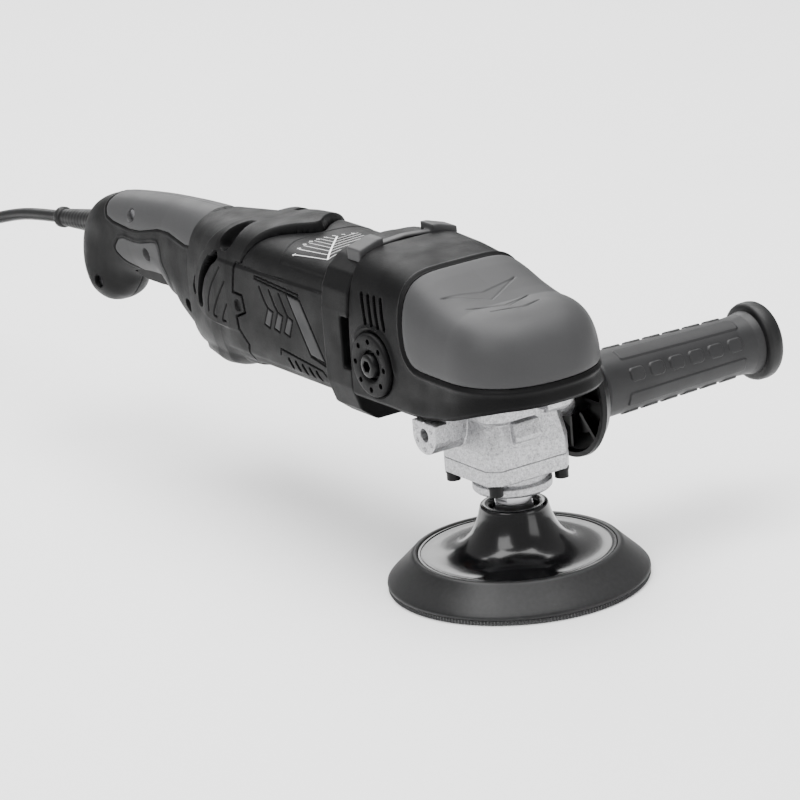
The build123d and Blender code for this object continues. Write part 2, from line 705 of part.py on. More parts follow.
def handle_shell():
    """Right half of the handle, without the openings of one side only."""
    shell = handle_form() - handle_form(WALL)
    bosses = [(y, z, 5.0, 0.0) for y, z in handle_screw_places()]
    bosses += [(TRIGGER_Y, TRIGGER_Z, 3.6, 8.6), (DIAL_Y, DIAL_Z, 4.4, 6.0)]
    for y, z, radius, start in bosses:
        shell += rod("x", start, 30, radius, y=y, z=z) & handle_form()
    shell -= side_slab(TRIGGER_SLOT, -8.2, 8.2)
    shell -= extrude(boot_axis_plane(BOOT_ROOT) * Circle(7.5), 40)
    shell -= rod("x", -5.2, 10.4, DIAL_R + 0.6, y=DIAL_Y, z=DIAL_Z)
    shell -= rod("x", -PIN_HALF, 2 * PIN_HALF, 1.5, y=TRIGGER_Y, z=TRIGGER_Z)
    shell -= rod("x", -AXLE_HALF, 2 * AXLE_HALF, 2.0, y=DIAL_Y, z=DIAL_Z)
    shell -= block(-60, 0, 200, 500, 0, 300)
    for region in grip_regions():
        shell -= region & handle_skin()
    for y, z in handle_screw_places():
        shell -= rod("x", -1, SCREW_TIP + 1, 2.0, y=y, z=z)
    return shell


def handle_shell_right():
    shell = handle_shell() - rod("x", 8, 20, 5.3, y=LOCK_ON_Y, z=LOCK_ON_Z)
    return shell.solids().sort_by(SortBy.VOLUME)[-1]


def handle_shell_left():
    shell = flip_x(handle_shell())
    for y, z in handle_screw_places():
        shell -= rod("x", -30, 30, 2.0, y=y, z=z)
        shell -= rod("x", -30, 30 - SCREW_HEAD_X + 2.6, 3.8, y=y, z=z)
    return shell.solids().sort_by(SortBy.VOLUME)[-1]


def handle_grips():
    """Right-hand soft inlays."""
    pieces = [region & handle_skin() for region in grip_regions()]
    return [piece.solids().sort_by(SortBy.VOLUME)[-1] for piece in pieces]


def handle_grip_right():
    return group(handle_grips())


def handle_grip_left():
    grips = []
    for grip in handle_grips():
        grip = flip_x(grip)
        for y, z in handle_screw_places()[:2]:
            grip -= rod("x", -40, 35, 3.8, y=y, z=z)
        grips.append(grip.solids().sort_by(SortBy.VOLUME)[-1])
    return group(grips)


def handle_screws():
    screws = []
    for y, z in handle_screw_places():
        head = rod("x", -SCREW_HEAD_X, 2.6, 3.6, y=y, z=z)
        shank = rod("x", 2.6 - SCREW_HEAD_X, SCREW_HEAD_X - 2.6 + SCREW_TIP, 2.0, y=y, z=z)
        screws.append(head + shank)
    for side in (-1, 1):
        head = rod("x", 36.4, 2.2, 3.1, y=CASE_SCREW_Y, z=CASE_SCREW_Z)
        head += rod("x", 30.0, 6.4, 2.0, y=CASE_SCREW_Y, z=CASE_SCREW_Z)
        screws.append(head if side == 1 else flip_x(head))
    return group(screws)


# ---------------------------------------------------------------- controls
def trigger():
    outline = [(334, 110.5), (338, 107.5), (347, 105.4), (362, 104.6), (378, 104.4), (387, 105.6),
               (389.4, 108), (389.4, 113.5), (384, 115.5), (346, 117), (336, 117.4), (333.2, 113)]
    paddle = side_slab(outline, -7.6, 7.6)
    paddle = paddle - side_slab([(346, 108), (384, 108), (384, 130), (346, 130)], -5.4, 5.4)
    return paddle - rod("x", -20, 40, 1.55, y=TRIGGER_Y, z=TRIGGER_Z)


def control_pins():
    """The trigger's hinge pin and the dial's axle."""
    pin = rod("x", -PIN_HALF, 2 * PIN_HALF, 1.5, y=TRIGGER_Y, z=TRIGGER_Z)
    axle = rod("x", -AXLE_HALF, 2 * AXLE_HALF, 2.0, y=DIAL_Y, z=DIAL_Z)
    return group([pin, axle])


def coil_spring(axis_name, start, length, radius, wire, turns, **place):
    """Compression spring at its pressed length, as a stack of joined rings."""
    pitch = (length - wire) / (turns - 1)
    spring = None
    for i in range(turns):
        loop = ring(axis_name, start + i * pitch, wire, radius, radius - wire, **place)
        spring = loop if spring is None else spring + loop
    sleeve = ring(axis_name, start, length, radius - 0.3, radius - wire + 0.1, **place)
    return spring + sleeve


def trigger_spring():
    return coil_spring("z", 108.0, 8.0, 3.0, 0.9, 6, y=378)


def switch_unit():
    case = block(-9.5, 9.5, 363, 395, 123, 142.4)
    return case + rod("z", 120.8, 2.3, 1.6, y=372)


def lock_on_button():
    button = rod("x", 11.0, 9.6, 5.0, y=LOCK_ON_Y, z=LOCK_ON_Z)
    return button + rod("x", 9.0, 2.1, 6.2, y=LOCK_ON_Y, z=LOCK_ON_Z)


def lock_on_spring():
    return coil_spring("x", 3.0, 6.0, 3.6, 0.8, 4, y=LOCK_ON_Y, z=LOCK_ON_Z)


def speed_dial():
    wheel = rod("x", -4.4, 8.8, DIAL_R, y=DIAL_Y, z=DIAL_Z)
    for i in range(24):
        angle = math.radians(15 * i)
        wheel -= rod("x", -5, 10, 0.7, y=DIAL_Y + DIAL_R * math.cos(angle),
                     z=DIAL_Z + DIAL_R * math.sin(angle))
    return wheel - rod("x", -5, 10, 2.05, y=DIAL_Y, z=DIAL_Z)


def speed_board():
    board = block(-8, 8, 398, 424, 103, 105)
    board += block(-7, 7, 402, 420, 105, 114)
    return board


def spindle_lock():
    button = rod("y", -36.2, 2.6, 3.8, x=LOCK_X, z=LOCK_Z)
    stem = rod("y", -33.6, 6.1, 3.35, x=LOCK_X, z=LOCK_Z)
    return button + stem + rod("y", -28.0, 5.9, 2.0, x=LOCK_X, z=LOCK_Z)


# ---------------------------------------------------------------- side handle
def side_handle_stud():
    return rod("x", BOSS_FACE - HANDLE_HOLE_DEPTH + 1, 48.4, HANDLE_HOLE_R, y=HANDLE_Y, z=HANDLE_Z)


GUARD_R = 36.4
GRIP_START = 66.0
GRIP_END = 181.0
CAP_END = 193.0


def side_handle_guard():
    dish = turned_x([
        (49.0, GUARD_R), (52.0, GUARD_R + 0.2), (58.5, 31.0), (62.5, 22.0), (66.0, 20.5),
        (66.0, HANDLE_HOLE_R), (BOSS_FACE + 0.0, HANDLE_HOLE_R), (BOSS_FACE, 12.0), (56.0, 13.5),
        (57.0, 24.0), (52.0, 32.5), (49.0, 33.6),
    ], HANDLE_Y, HANDLE_Z)
    for i in range(8):
        rib = side_slab([(13.0, -1.1), (31.5, -1.1), (31.5, 1.1), (13.0, 1.1)], 52.2, 57.0)
        dish += Pos(0, HANDLE_Y, HANDLE_Z) * (Rot(45 * i, 0, 0) * rib)
    return dish


def side_handle_core():
    core = turned_x([(66.0, HANDLE_HOLE_R), (66.0, 13.0), (GRIP_END, 13.0), (GRIP_END, 9.0),
                     (CAP_END - 4, 9.0), (CAP_END - 4, 0), (80, 0), (80, HANDLE_HOLE_R)],
                    HANDLE_Y, HANDLE_Z)
    return core


def side_handle_grip():
    grip = turned_x([
        (66.2, 13.0), (66.2, 18.6), (68.5, 19.4), (90, 18.9), (130, 18.0), (166, 17.2),
        (178, 18.2), (GRIP_END, 19.2), (GRIP_END, 13.0),
    ], HANDLE_Y, HANDLE_Z)
    for row in range(8):
        for i in range(6):
            turn = Pos(0, HANDLE_Y, HANDLE_Z) * Rot(22.5 + 45 * row, 0, 0)
            pad = Pos(89 + 14.5 * i, 0, 17.9) * Box(9.5, 6.0, 2.4)
            if row % 2 == 0:
                grip += turn * pad
    return grip


def side_handle_cap():
    return turned_x([
        (GRIP_END + 0.1, 9.0), (GRIP_END + 0.1, 21.6), (GRIP_END + 1.6, 23.2), (CAP_END - 5, 23.3),
        (CAP_END - 2.4, 22.4), (CAP_END, 19.0), (CAP_END, 6.0), (CAP_END - 4, 5.0), (CAP_END - 4, 9.0),
    ], HANDLE_Y, HANDLE_Z)


# ---------------------------------------------------------------- cord


def cord_boot():
    profile = [(0, 8.6), (4, 8.6), (4, 7.4), (18, 7.4), (18, 7.9), (20, 7.9), (52, 5.4), (55, 5.4),
               (55, 6.8), (BOOT_LENGTH, 6.8)]
    outline = [(r, y) for y, r in profile] + [(CORD_R, BOOT_LENGTH), (CORD_R, 0)]
    body = revolve(Plane.XZ * face_of(outline), Axis.Z)
    return boot_axis_plane(BOOT_ROOT).location * body


def bend_radii(points):
    """Largest tangent arc that the two runs beside each corner allow."""
    radii = []
    for before, here, after in zip(points, points[1:], points[2:]):
        run_in = Vector(*here) - Vector(*before)
        run_out = Vector(*after) - Vector(*here)
        half_turn = math.radians(run_in.get_angle(run_out) / 2)
        shorter = min(run_in.length, run_out.length)
        radii.append(0.45 * shorter / math.tan(half_turn))
    return radii


def cord_tube(points, name):
    radii = bend_radii(points)
    path = FilletPolyline(*points, radius=radii)
    start = Vector(*points[1]) - Vector(*points[0])
    section = Plane(origin=points[0], z_dir=start) * Circle(CORD_R)
    tube = sweep(section, path=path)
    expected = math.pi * CORD_R ** 2 * path.length
    print(name, "radii", [round(r) for r in radii], "length", round(path.length, 1),
          "volume ratio", round(tube.volume / expected, 4))
    return tube


def boot_end(distance):
    """Point on the boot's axis, distance beyond its root."""
    origin = boot_axis_plane(distance).origin
    return (origin.X, origin.Y, origin.Z)


def cord_lead():
    return cord_tube([boot_end(BOOT_ROOT + BOOT_LENGTH)] + CORD_ROUTE[1:], "cord_lead")


def cord_coil():
    half = COIL_COLUMNS * CORD_D / 2
    section = Plane.XZ * (Pos(COIL_MEAN_R, COIL_LAYERS * CORD_R) *
                          RectangleRounded(2 * half, COIL_LAYERS * CORD_D, 3.0))
    return Pos(COIL_X, COIL_Y, 0) * revolve(section, Axis.Z)


PLUG_X = COIL_X - COIL_MEAN_R - CORD_D   # in line with the coil's outermost turn
PLUG_Y = 596.0
PLUG_Z = 8.3


def plug_body():
    nose = Pos(PLUG_X, PLUG_Y - 46, PLUG_Z) * Box(35, 18, 16.4)
    grip = Pos(PLUG_X, PLUG_Y - 30, PLUG_Z) * Box(24, 16, 15)
    relief_plane = Plane(origin=(PLUG_X, PLUG_Y - 24, PLUG_Z), x_dir=(1, 0, 0), z_dir=(0, 1, 0))
    relief = extrude(relief_plane * Circle(6.6), 24, taper=3.5)
    return fillet(nose.edges(), 2.5) + fillet(grip.edges().filter_by(Axis.Y), 4) + relief


def plug_pins():
    return group([rod("y", PLUG_Y - 74, 19, 2.4, x=PLUG_X + side * 9.5, z=PLUG_Z)
                  for side in (-1, 1)])


def cord_tail():
    end = (PLUG_X, PLUG_Y, PLUG_Z)
    return cord_tube([(PLUG_X, PLUG_Y + 37, CORD_R + 0.2), (PLUG_X - 0.4, PLUG_Y + 25, 5.4),
                      (PLUG_X, PLUG_Y + 12, PLUG_Z), end], "cord_tail")


# ---------------------------------------------------------------- write every node
NODES = {
    "hook_face": hook_face,
    "plate_skirt": plate_skirt,
    "plate_hub": plate_hub,
    "plate_nut": plate_nut,
    "spindle": spindle,
    "crown_gear": crown_gear,
    "bevel_pinion": bevel_pinion,
    "spindle_bearing": lambda: ball_bearing("z", 61.6, 10.6, 16.0, 7.52, 9),
    "spindle_seal": lambda: ring("z", 56.2, 5.2, 12.48, 8.54),
    "spindle_top_bush": lambda: ring("z", 127.0, 10.8, 7.0, 5.0 + SHAFT_GAP),
    "gear_housing": gear_housing,
    "bearing_flange": bearing_flange,
    "gear_head_screws": gear_head_screws,
    "flange_washers": flange_washers,
    "hood": hood,
    "palm_rest": palm_rest,
    "hood_discs": hood_discs,
    "hood_bolts": hood_bolts,
    "motor_housing": motor_housing,
    "front_collar": front_collar,
    "top_bumper": top_bumper,
    "armature_shaft": armature_shaft,
    "armature_core": armature_core,
    "armature_windings": armature_windings,
    "commutator": commutator,
    "cooling_fan": cooling_fan,
    "front_bearing": lambda: ball_bearing("y", 31.2, 9.0, 13.0, SHAFT_R + SHAFT_GAP, 8, z=MOTOR_Z),
    "rear_bearing": lambda: ball_bearing("y", 225, 8.0, 11.0, 4.0 + SHAFT_GAP, 7, z=MOTOR_Z),
    "stator_core": stator_core,
    "field_windings": field_windings,
    "brush_holders": brush_holders,
    "carbon_brushes": carbon_brushes,
    "brush_springs": brush_springs,
    "bearing_bracket": bearing_bracket,
    "rear_cover": rear_cover,
    "handle_shell_left": handle_shell_left,
    "handle_shell_right": handle_shell_right,
    "handle_grip_left": handle_grip_left,
    "handle_grip_right": handle_grip_right,
    "handle_screws": handle_screws,
    "trigger": trigger,
    "control_pins": control_pins,
    "trigger_spring": trigger_spring,
    "switch_unit": switch_unit,
    "lock_on_button": lock_on_button,
    "lock_on_spring": lock_on_spring,
    "speed_dial": speed_dial,
    "speed_board": speed_board,
    "spindle_lock": spindle_lock,
    "side_handle_stud": side_handle_stud,
    "side_handle_guard": side_handle_guard,
    "side_handle_core": side_handle_core,
    "side_handle_grip": side_handle_grip,
    "side_handle_cap": side_handle_cap,
    "cord_boot": cord_boot,
    "cord_lead": cord_lead,
    "cord_coil": cord_coil,
    "cord_tail": cord_tail,
    "plug_body": plug_body,
    "plug_pins": plug_pins,
}

if __name__ == "__main__":
    os.makedirs("parts", exist_ok=True)
    for name, make in NODES.items():
        save(name, make())
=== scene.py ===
import json
import math

import bmesh
import bpy
import numpy as np
from mathutils import Matrix, Vector


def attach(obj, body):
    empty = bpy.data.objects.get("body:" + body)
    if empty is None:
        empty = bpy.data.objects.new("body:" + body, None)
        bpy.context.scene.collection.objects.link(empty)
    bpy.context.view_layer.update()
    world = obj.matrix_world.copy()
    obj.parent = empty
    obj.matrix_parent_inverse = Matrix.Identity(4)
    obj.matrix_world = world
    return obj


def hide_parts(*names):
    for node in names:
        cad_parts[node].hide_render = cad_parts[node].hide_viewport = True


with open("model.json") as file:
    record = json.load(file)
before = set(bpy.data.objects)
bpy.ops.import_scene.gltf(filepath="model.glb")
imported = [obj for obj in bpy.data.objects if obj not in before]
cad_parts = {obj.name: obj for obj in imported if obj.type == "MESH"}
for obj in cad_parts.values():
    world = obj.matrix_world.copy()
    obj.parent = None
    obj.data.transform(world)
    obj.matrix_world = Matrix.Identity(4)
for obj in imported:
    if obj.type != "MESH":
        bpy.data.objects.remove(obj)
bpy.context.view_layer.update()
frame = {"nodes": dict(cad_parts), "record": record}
NODES = frame["nodes"]
MM = 0.001

# ------------------------------------------------------------------ camera
RIGHT = Vector((0.82423303, -0.56087935, -0.07780922))
UP = Vector((0.23361636, 0.21165398, 0.94901317))
BACK = Vector((-0.51581326, -0.8003855, 0.30548279))
camera = bpy.data.objects.new("camera", bpy.data.cameras.new("camera"))
bpy.context.scene.collection.objects.link(camera)
turn = Matrix((RIGHT, UP, BACK)).transposed().to_4x4()
camera.matrix_world = Matrix.Translation((-1.35048, -1.98584, 0.88234)) @ turn
camera.data.lens = 202.5
camera.data.sensor_width = 36.0
camera.data.clip_end = 60.0
bpy.context.scene.camera = camera

# ------------------------------------------------------------------ small geometry helpers


def smooth(value, low, high):
    """0 below low, 1 above high, and an S between."""
    t = np.clip((np.asarray(value, float) - low) / (high - low), 0.0, 1.0)
    return t * t * (3 - 2 * t)


def line_distance(a, b, path):
    """Distance from each point (a, b) to an open polyline."""
    best = np.full(np.shape(a), 1e9)
    for (a0, b0), (a1, b1) in zip(path, path[1:]):
        da, db = a1 - a0, b1 - b0
        t = np.clip(((a - a0) * da + (b - b0) * db) / (da * da + db * db + 1e-12), 0, 1)
        best = np.minimum(best, np.hypot(a - a0 - t * da, b - b0 - t * db))
    return best


def inside(a, b, polygon):
    """Distance to a closed outline, positive inside it."""
    far = line_distance(a, b, polygon + polygon[:1])
    within = np.zeros(np.shape(a), bool)
    for (a0, b0), (a1, b1) in zip(polygon, polygon[1:] + polygon[:1]):
        if b0 == b1:
            continue
        crossed = ((b0 > b) != (b1 > b)) & (a < (a1 - a0) * (b - b0) / (b1 - b0) + a0)
        within ^= crossed
    return np.where(within, far, -far)


def rounded(polygon, times=2):
    """The outline with its corners cut."""
    for _ in range(times):
        cut = []
        for (a0, b0), (a1, b1) in zip(polygon, polygon[1:] + polygon[:1]):
            cut.append((0.8 * a0 + 0.2 * a1, 0.8 * b0 + 0.2 * b1))
            cut.append((0.2 * a0 + 0.8 * a1, 0.2 * b0 + 0.8 * b1))
        polygon = cut
    return polygon


def groove(distance, width, depth, soft=0.3):
    """Channel of this width: how far the surface goes in."""
    return depth * (1 - smooth(distance, width / 2 - soft, width / 2 + soft))


def normals_of(points, middle, wrap=False):
    """Unit normals of a grid of points, facing away from the middle points."""
    if wrap:
        ring = np.concatenate([points[-1:], points, points[:1]], 0)
        du = (ring[2:] - ring[:-2])
    else:
        du = np.gradient(points, axis=0)
    dv = np.gradient(points, axis=1)
    n = np.cross(du, dv)
    size = np.linalg.norm(n, axis=2, keepdims=True)
    n = np.where(size > 1e-9, n / np.maximum(size, 1e-9), 0)
    if np.sum(n * (points - middle)) < 0:
        n = -n
    return n


def new_object(name, points, faces, material, sharp=35):
    """Mesh object from points in mm."""
    mesh = bpy.data.meshes.new(name)
    mesh.from_pydata((np.asarray(points, float) * MM).tolist(), [], np.asarray(faces).tolist()
                     if isinstance(faces, np.ndarray) else faces)
    mesh.validate()
    work = bmesh.new()
    work.from_mesh(mesh)
    bmesh.ops.remove_doubles(work, verts=work.verts, dist=2e-6)
    bmesh.ops.recalc_face_normals(work, faces=work.faces)
    work.to_mesh(mesh)
    work.free()
    obj = bpy.data.objects.new(name, mesh)
    bpy.context.scene.collection.objects.link(obj)
    shade(obj, sharp)
    obj.data.materials.append(material)
    return obj


def shade(obj, sharp=35):
    """Smooth faces with sharp edges above an angle in degrees."""
    obj.data.polygons.foreach_set("use_smooth", [True] * len(obj.data.polygons))
    obj.data.set_sharp_from_angle(angle=math.radians(sharp))


def place(obj, body, slot, *replaced):
    """Put a finished piece on its body, in place of its CAD nodes."""
    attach(obj, body)
    if replaced:
        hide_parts(*replaced)
    return obj


def shell(name, outer, inner, keep, material, wrap=False, sharp=40, folded=False):
    """Closed skin between two grids of points, over the kept grid points.

    folded says that the first column of points is a line where the two sides meet."""
    n, m = outer.shape[:2]
    i, j = np.meshgrid(np.arange(n if wrap else n - 1), np.arange(m - 1), indexing="ij")
    i2, j2 = (i + 1) % n, j + 1
    quads = np.stack([i * m + j, i2 * m + j, i2 * m + j2, i * m + j2], -1).reshape(-1, 4)
    quads = quads[keep.ravel()[quads].all(1)]
    edges = np.concatenate([quads[:, [k, (k + 1) % 4]] for k in range(4)])
    key = np.sort(edges, 1)
    _, first, count = np.unique(key, axis=0, return_index=True, return_counts=True)
    rim = edges[first[count == 1]]
    if folded:
        rim = rim[~(rim % m == 0).all(1)]
    total = n * m
    faces = np.concatenate([quads, quads[:, ::-1] + total,
                            np.stack([rim[:, 1], rim[:, 0], rim[:, 0] + total,
                                      rim[:, 1] + total], -1)])
    points = np.concatenate([outer.reshape(-1, 3), inner.reshape(-1, 3)])
    used, index = np.unique(faces, return_inverse=True)
    return new_object(name, points[used], index.reshape(faces.shape), material, sharp)


def spline(points, count, closed=False):
    """Smooth curve through the points, evenly sampled along its length."""
    p = np.asarray(points, float)
    if closed:
        p = np.concatenate([p[-1:], p, p[:2]])
    else:
        p = np.concatenate([2 * p[:1] - p[1:2], p, 2 * p[-1:] - p[-2:-1]])
    t = np.linspace(0, 1, 24, endpoint=False)[:, None]
    out = []
    for a, b, c, d in zip(p, p[1:], p[2:], p[3:]):
        out.append(0.5 * (2 * b + (c - a) * t + (2 * a - 5 * b + 4 * c - d) * t ** 2
                          + (3 * b - a - 3 * c + d) * t ** 3))
    out = np.concatenate(out + ([out[0][:1]] if closed else [p[-2:-1]]))
    step = np.r_[0, np.cumsum(np.linalg.norm(np.diff(out, axis=0), axis=1))]
    at = np.linspace(0, step[-1], count, endpoint=not closed)
    return np.stack([np.interp(at, step, out[:, k]) for k in range(out.shape[1])], 1)


def lathe(name, profile, material, origin=(0, 0, 0), axis="z", segments=192, sharp=28):
    """Turned piece from (radius, height) points; a profile that leaves the axis is closed."""
    p = np.asarray(profile, float)
    angle = np.linspace(0, 2 * math.pi, segments, endpoint=False)
    r, h = p[:, 0][None, :], p[:, 1][None, :]
    a, b = r * np.cos(angle)[:, None], r * np.sin(angle)[:, None]
    h = np.broadcast_to(h, a.shape)
    order = {"z": (a, b, h), "x": (h, a, b), "y": (b, h, a)}[axis]
    points = np.stack(order, -1) + np.asarray(origin, float)
    n, m = points.shape[:2]
    i, j = np.meshgrid(np.arange(n), np.arange(m if p[0, 0] > 0 else m - 1), indexing="ij")
    i2, j2 = (i + 1) % n, (j + 1) % m
    quads = np.stack([i * m + j, i2 * m + j, i2 * m + j2, i * m + j2], -1).reshape(-1, 4)
    return new_object(name, points.reshape(-1, 3), quads, material, sharp)


def remeshed(node, name, material, voxel=0.7, passes=4, sharp=60, cutters=(), extras=()):
    """Copy of a CAD node with its edges softened."""
    obj = NODES[node].copy()
    obj.data = NODES[node].data.copy()
    for key in list(obj.keys()):
        del obj[key]
    obj.parent = None
    obj.matrix_world = Matrix.Identity(4)
    obj.name = name
    obj.data.materials.clear()
    bpy.context.scene.collection.objects.link(obj)
    for extra in extras:
        step = obj.modifiers.new("add", "BOOLEAN")
        step.operation = "UNION"
        step.solver = "EXACT"
        step.object = extra
    for cutter in cutters:
        step = obj.modifiers.new("cut", "BOOLEAN")
        step.operation = "DIFFERENCE"
        step.solver = "EXACT"
        step.object = cutter
    step = obj.modifiers.new("remesh", "REMESH")
    step.mode = "VOXEL"
    step.voxel_size = voxel * MM
    soft = obj.modifiers.new("soft", "SMOOTH")
    soft.factor = 0.5
    soft.iterations = passes
    view = bpy.context.evaluated_depsgraph_get()
    mesh = bpy.data.meshes.new_from_object(obj.evaluated_get(view))
    obj.modifiers.clear()
    obj.data = mesh
    for helper in list(cutters) + list(extras):
        bpy.data.objects.remove(helper)
    shade(obj, sharp)
    obj.data.materials.append(material)
    return obj


def prism(axis, outline, low, high):
    """Straight-sided helper solid from an outline in the two other axes."""
    work = bmesh.new()
    rings = []
    for level in (low, high):
        ring = []
        for a, b in outline:
            at = {"x": (level, a, b), "y": (a, level, b), "z": (a, b, level)}[axis]
            ring.append(work.verts.new(Vector(at) * MM))
        rings.append(ring)
    work.faces.new(rings[0])
    work.faces.new(rings[1])
    for k in range(len(outline)):
        k2 = (k + 1) % len(outline)
        work.faces.new((rings[0][k], rings[0][k2], rings[1][k2], rings[1][k]))
    bmesh.ops.recalc_face_normals(work, faces=work.faces)
    mesh = bpy.data.meshes.new("helper")
    work.to_mesh(mesh)
    work.free()
    obj = bpy.data.objects.new("helper", mesh)
    bpy.context.scene.collection.objects.link(obj)
    return obj


def circle(a, b, radius, count=48):
    turns = np.linspace(0, 2 * math.pi, count, endpoint=False)
    return [(a + radius * math.cos(t), b + radius * math.sin(t)) for t in turns]


# ------------------------------------------------------------------ materials


def finish(name, colour, rough, vary=0.15, grain=900.0, bump=0.15, blotch=60.0, rough_vary=0.08,
           metallic=0.0, coat=0.0, depth=0.0002, sheen=0.0, streak=None, shine=0.5):
    """Surface with fine grain in its bump and slow change in colour and gloss."""
    material = bpy.data.materials.new(name)
    material.use_nodes = True
    tree = material.node_tree
    nodes, links = tree.nodes, tree.links
    shader = nodes["Principled BSDF"]
    shader.inputs["Metallic"].default_value = metallic
    shader.inputs["Specular IOR Level"].default_value = shine
    shader.inputs["Coat Weight"].default_value = coat
    shader.inputs["Coat Roughness"].default_value = 0.06
    shader.inputs["Sheen Weight"].default_value = sheen
    where = nodes.new("ShaderNodeTexCoord")
    fine = nodes.new("ShaderNodeTexNoise")
    fine.inputs["Scale"].default_value = grain
    fine.inputs["Detail"].default_value = 3.0
    slow = nodes.new("ShaderNodeTexNoise")
    slow.inputs["Scale"].default_value = blotch
    slow.inputs["Detail"].default_value = 4.0
    links.new(where.outputs["Object"], fine.inputs["Vector"])
    if streak:
        stretch = nodes.new("ShaderNodeMapping")
        stretch.inputs["Scale"].default_value = streak
        links.new(where.outputs["Object"], stretch.inputs["Vector"])
        links.new(stretch.outputs["Vector"], slow.inputs["Vector"])
    else:
        links.new(where.outputs["Object"], slow.inputs["Vector"])
    tint = nodes.new("ShaderNodeValToRGB")
    low = tuple(c * (1 - vary) for c in colour) + (1.0,)
    high = tuple(min(c * (1 + vary), 1.0) for c in colour) + (1.0,)
    tint.color_ramp.elements[0].position = 0.32
    tint.color_ramp.elements[0].color = low
    tint.color_ramp.elements[1].position = 0.68
    tint.color_ramp.elements[1].color = high
    both = nodes.new("ShaderNodeMath")
    both.operation = "ADD"
    half = nodes.new("ShaderNodeMath")
    half.operation = "MULTIPLY"
    half.inputs[1].default_value = 0.5
    links.new(fine.outputs["Fac"], both.inputs[0])
    links.new(slow.outputs["Fac"], both.inputs[1])
    links.new(both.outputs[0], half.inputs[0])
    links.new(half.outputs[0], tint.inputs["Fac"])
    links.new(tint.outputs["Color"], shader.inputs["Base Color"])
    gloss = nodes.new("ShaderNodeMapRange")
    gloss.inputs["From Min"].default_value = 0.3
    gloss.inputs["From Max"].default_value = 0.7
    gloss.inputs["To Min"].default_value = max(rough - rough_vary, 0.02)
    gloss.inputs["To Max"].default_value = min(rough + rough_vary, 1.0)
    links.new(slow.outputs["Fac"], gloss.inputs["Value"])
    links.new(gloss.outputs["Result"], shader.inputs["Roughness"])
    raise_up = nodes.new("ShaderNodeBump")
    raise_up.inputs["Strength"].default_value = bump
    raise_up.inputs["Distance"].default_value = depth
    links.new(fine.outputs["Fac"], raise_up.inputs["Height"])
    links.new(raise_up.outputs["Normal"], shader.inputs["Normal"])
    return material


BLACK = finish("black_plastic", (0.002, 0.002, 0.0022), 0.5, grain=1500, bump=0.5, depth=0.0003, shine=0.12)
BLACK_SMOOTH = finish("black_satin", (0.002, 0.002, 0.0022), 0.38, grain=700, bump=0.08, shine=0.18)
GREY = finish("grey_grip", (0.038, 0.038, 0.039), 0.5, vary=0.05, grain=1400, bump=0.14, rough_vary=0.05,
              shine=0.22)
GREY_INLAY = finish("grey_inlay", (0.022, 0.022, 0.023), 0.55, vary=0.06, grain=1200, bump=0.2, shine=0.25)
DARK_GRIP = finish("dark_grip", (0.0155, 0.0155, 0.0162), 0.5, vary=0.08, grain=1000, bump=0.18, shine=0.3)
RUBBER = finish("black_rubber", (0.004, 0.004, 0.0043), 0.48, grain=600, bump=0.15, shine=0.28)
SKIRT = finish("skirt_rubber", (0.007, 0.007, 0.0074), 0.46, vary=0.5, grain=420, bump=0.12, blotch=9,
               rough_vary=0.16, shine=0.34)
CORD = finish("cord_rubber", (0.0034, 0.0034, 0.0037), 0.42, grain=500, bump=0.1, shine=0.26)
PLUG = finish("plug_plastic", (0.006, 0.006, 0.0065), 0.4, grain=700, bump=0.1, shine=0.4)
CAST = finish("cast_aluminium", (0.43, 0.43, 0.44), 0.42, vary=0.5, grain=1100, bump=0.75, blotch=500,
              rough_vary=0.12, metallic=0.92, depth=0.0006)
GLOSS = finish("gloss_black", (0.003, 0.003, 0.0034), 0.2, vary=0.2, grain=300, bump=0.02, blotch=25,
               rough_vary=0.05, coat=0.15, shine=0.35)
HOOK = finish("hook_fabric", (0.02, 0.02, 0.021), 0.85, vary=0.4, grain=2200, bump=0.9, depth=0.0006,
              sheen=0.3)
STEEL = finish("steel", (0.42, 0.42, 0.43), 0.33, vary=0.12, grain=1400, bump=0.1, metallic=1.0)
DARK_STEEL = finish("dark_steel", (0.1, 0.1, 0.105), 0.38, vary=0.15, grain=1200, bump=0.12,
                    metallic=0.9)
BRONZE = finish("bronze", (0.55, 0.42, 0.2), 0.32, vary=0.1, grain=900, bump=0.08, metallic=1.0)
COPPER = finish("copper", (0.6, 0.26, 0.11), 0.35, vary=0.15, grain=600, bump=0.35, metallic=1.0,
                streak=(40, 1, 40))
CARBON = finish("carbon", (0.02, 0.02, 0.02), 0.6, grain=1500, bump=0.25)
BOARD = finish("board", (0.02, 0.09, 0.035), 0.45, vary=0.3, grain=500, bump=0.2)
PRINT = finish("white_print", (0.75, 0.75, 0.75), 0.5, vary=0.04, grain=900, bump=0.03)

MATERIAL_OF_SLOT = {
    "black_plastic": BLACK, "grey_grip": GREY, "dark_grip": DARK_GRIP, "black_rubber": RUBBER,
    "cord_rubber": CORD, "plug_plastic": PLUG, "cast_aluminium": CAST, "gloss_black": GLOSS,
    "hook_fabric": HOOK, "steel": STEEL, "bronze": BRONZE, "copper": COPPER, "carbon": CARBON,
    "board": BOARD,
}
for part in frame["record"]["subparts"]:
    node = NODES[part["node"]]
    node.data.materials.clear()
    node.data.materials.append(MATERIAL_OF_SLOT[part["material_slot"]])
    shade(node, 30)
for name in ("spindle_lock", "hood_bolts", "handle_screws"):
    NODES[name].data.materials[0] = DARK_STEEL
for name in ("gear_head_screws", "flange_washers"):
    NODES[name].data.materials[0] = BLACK_SMOOTH

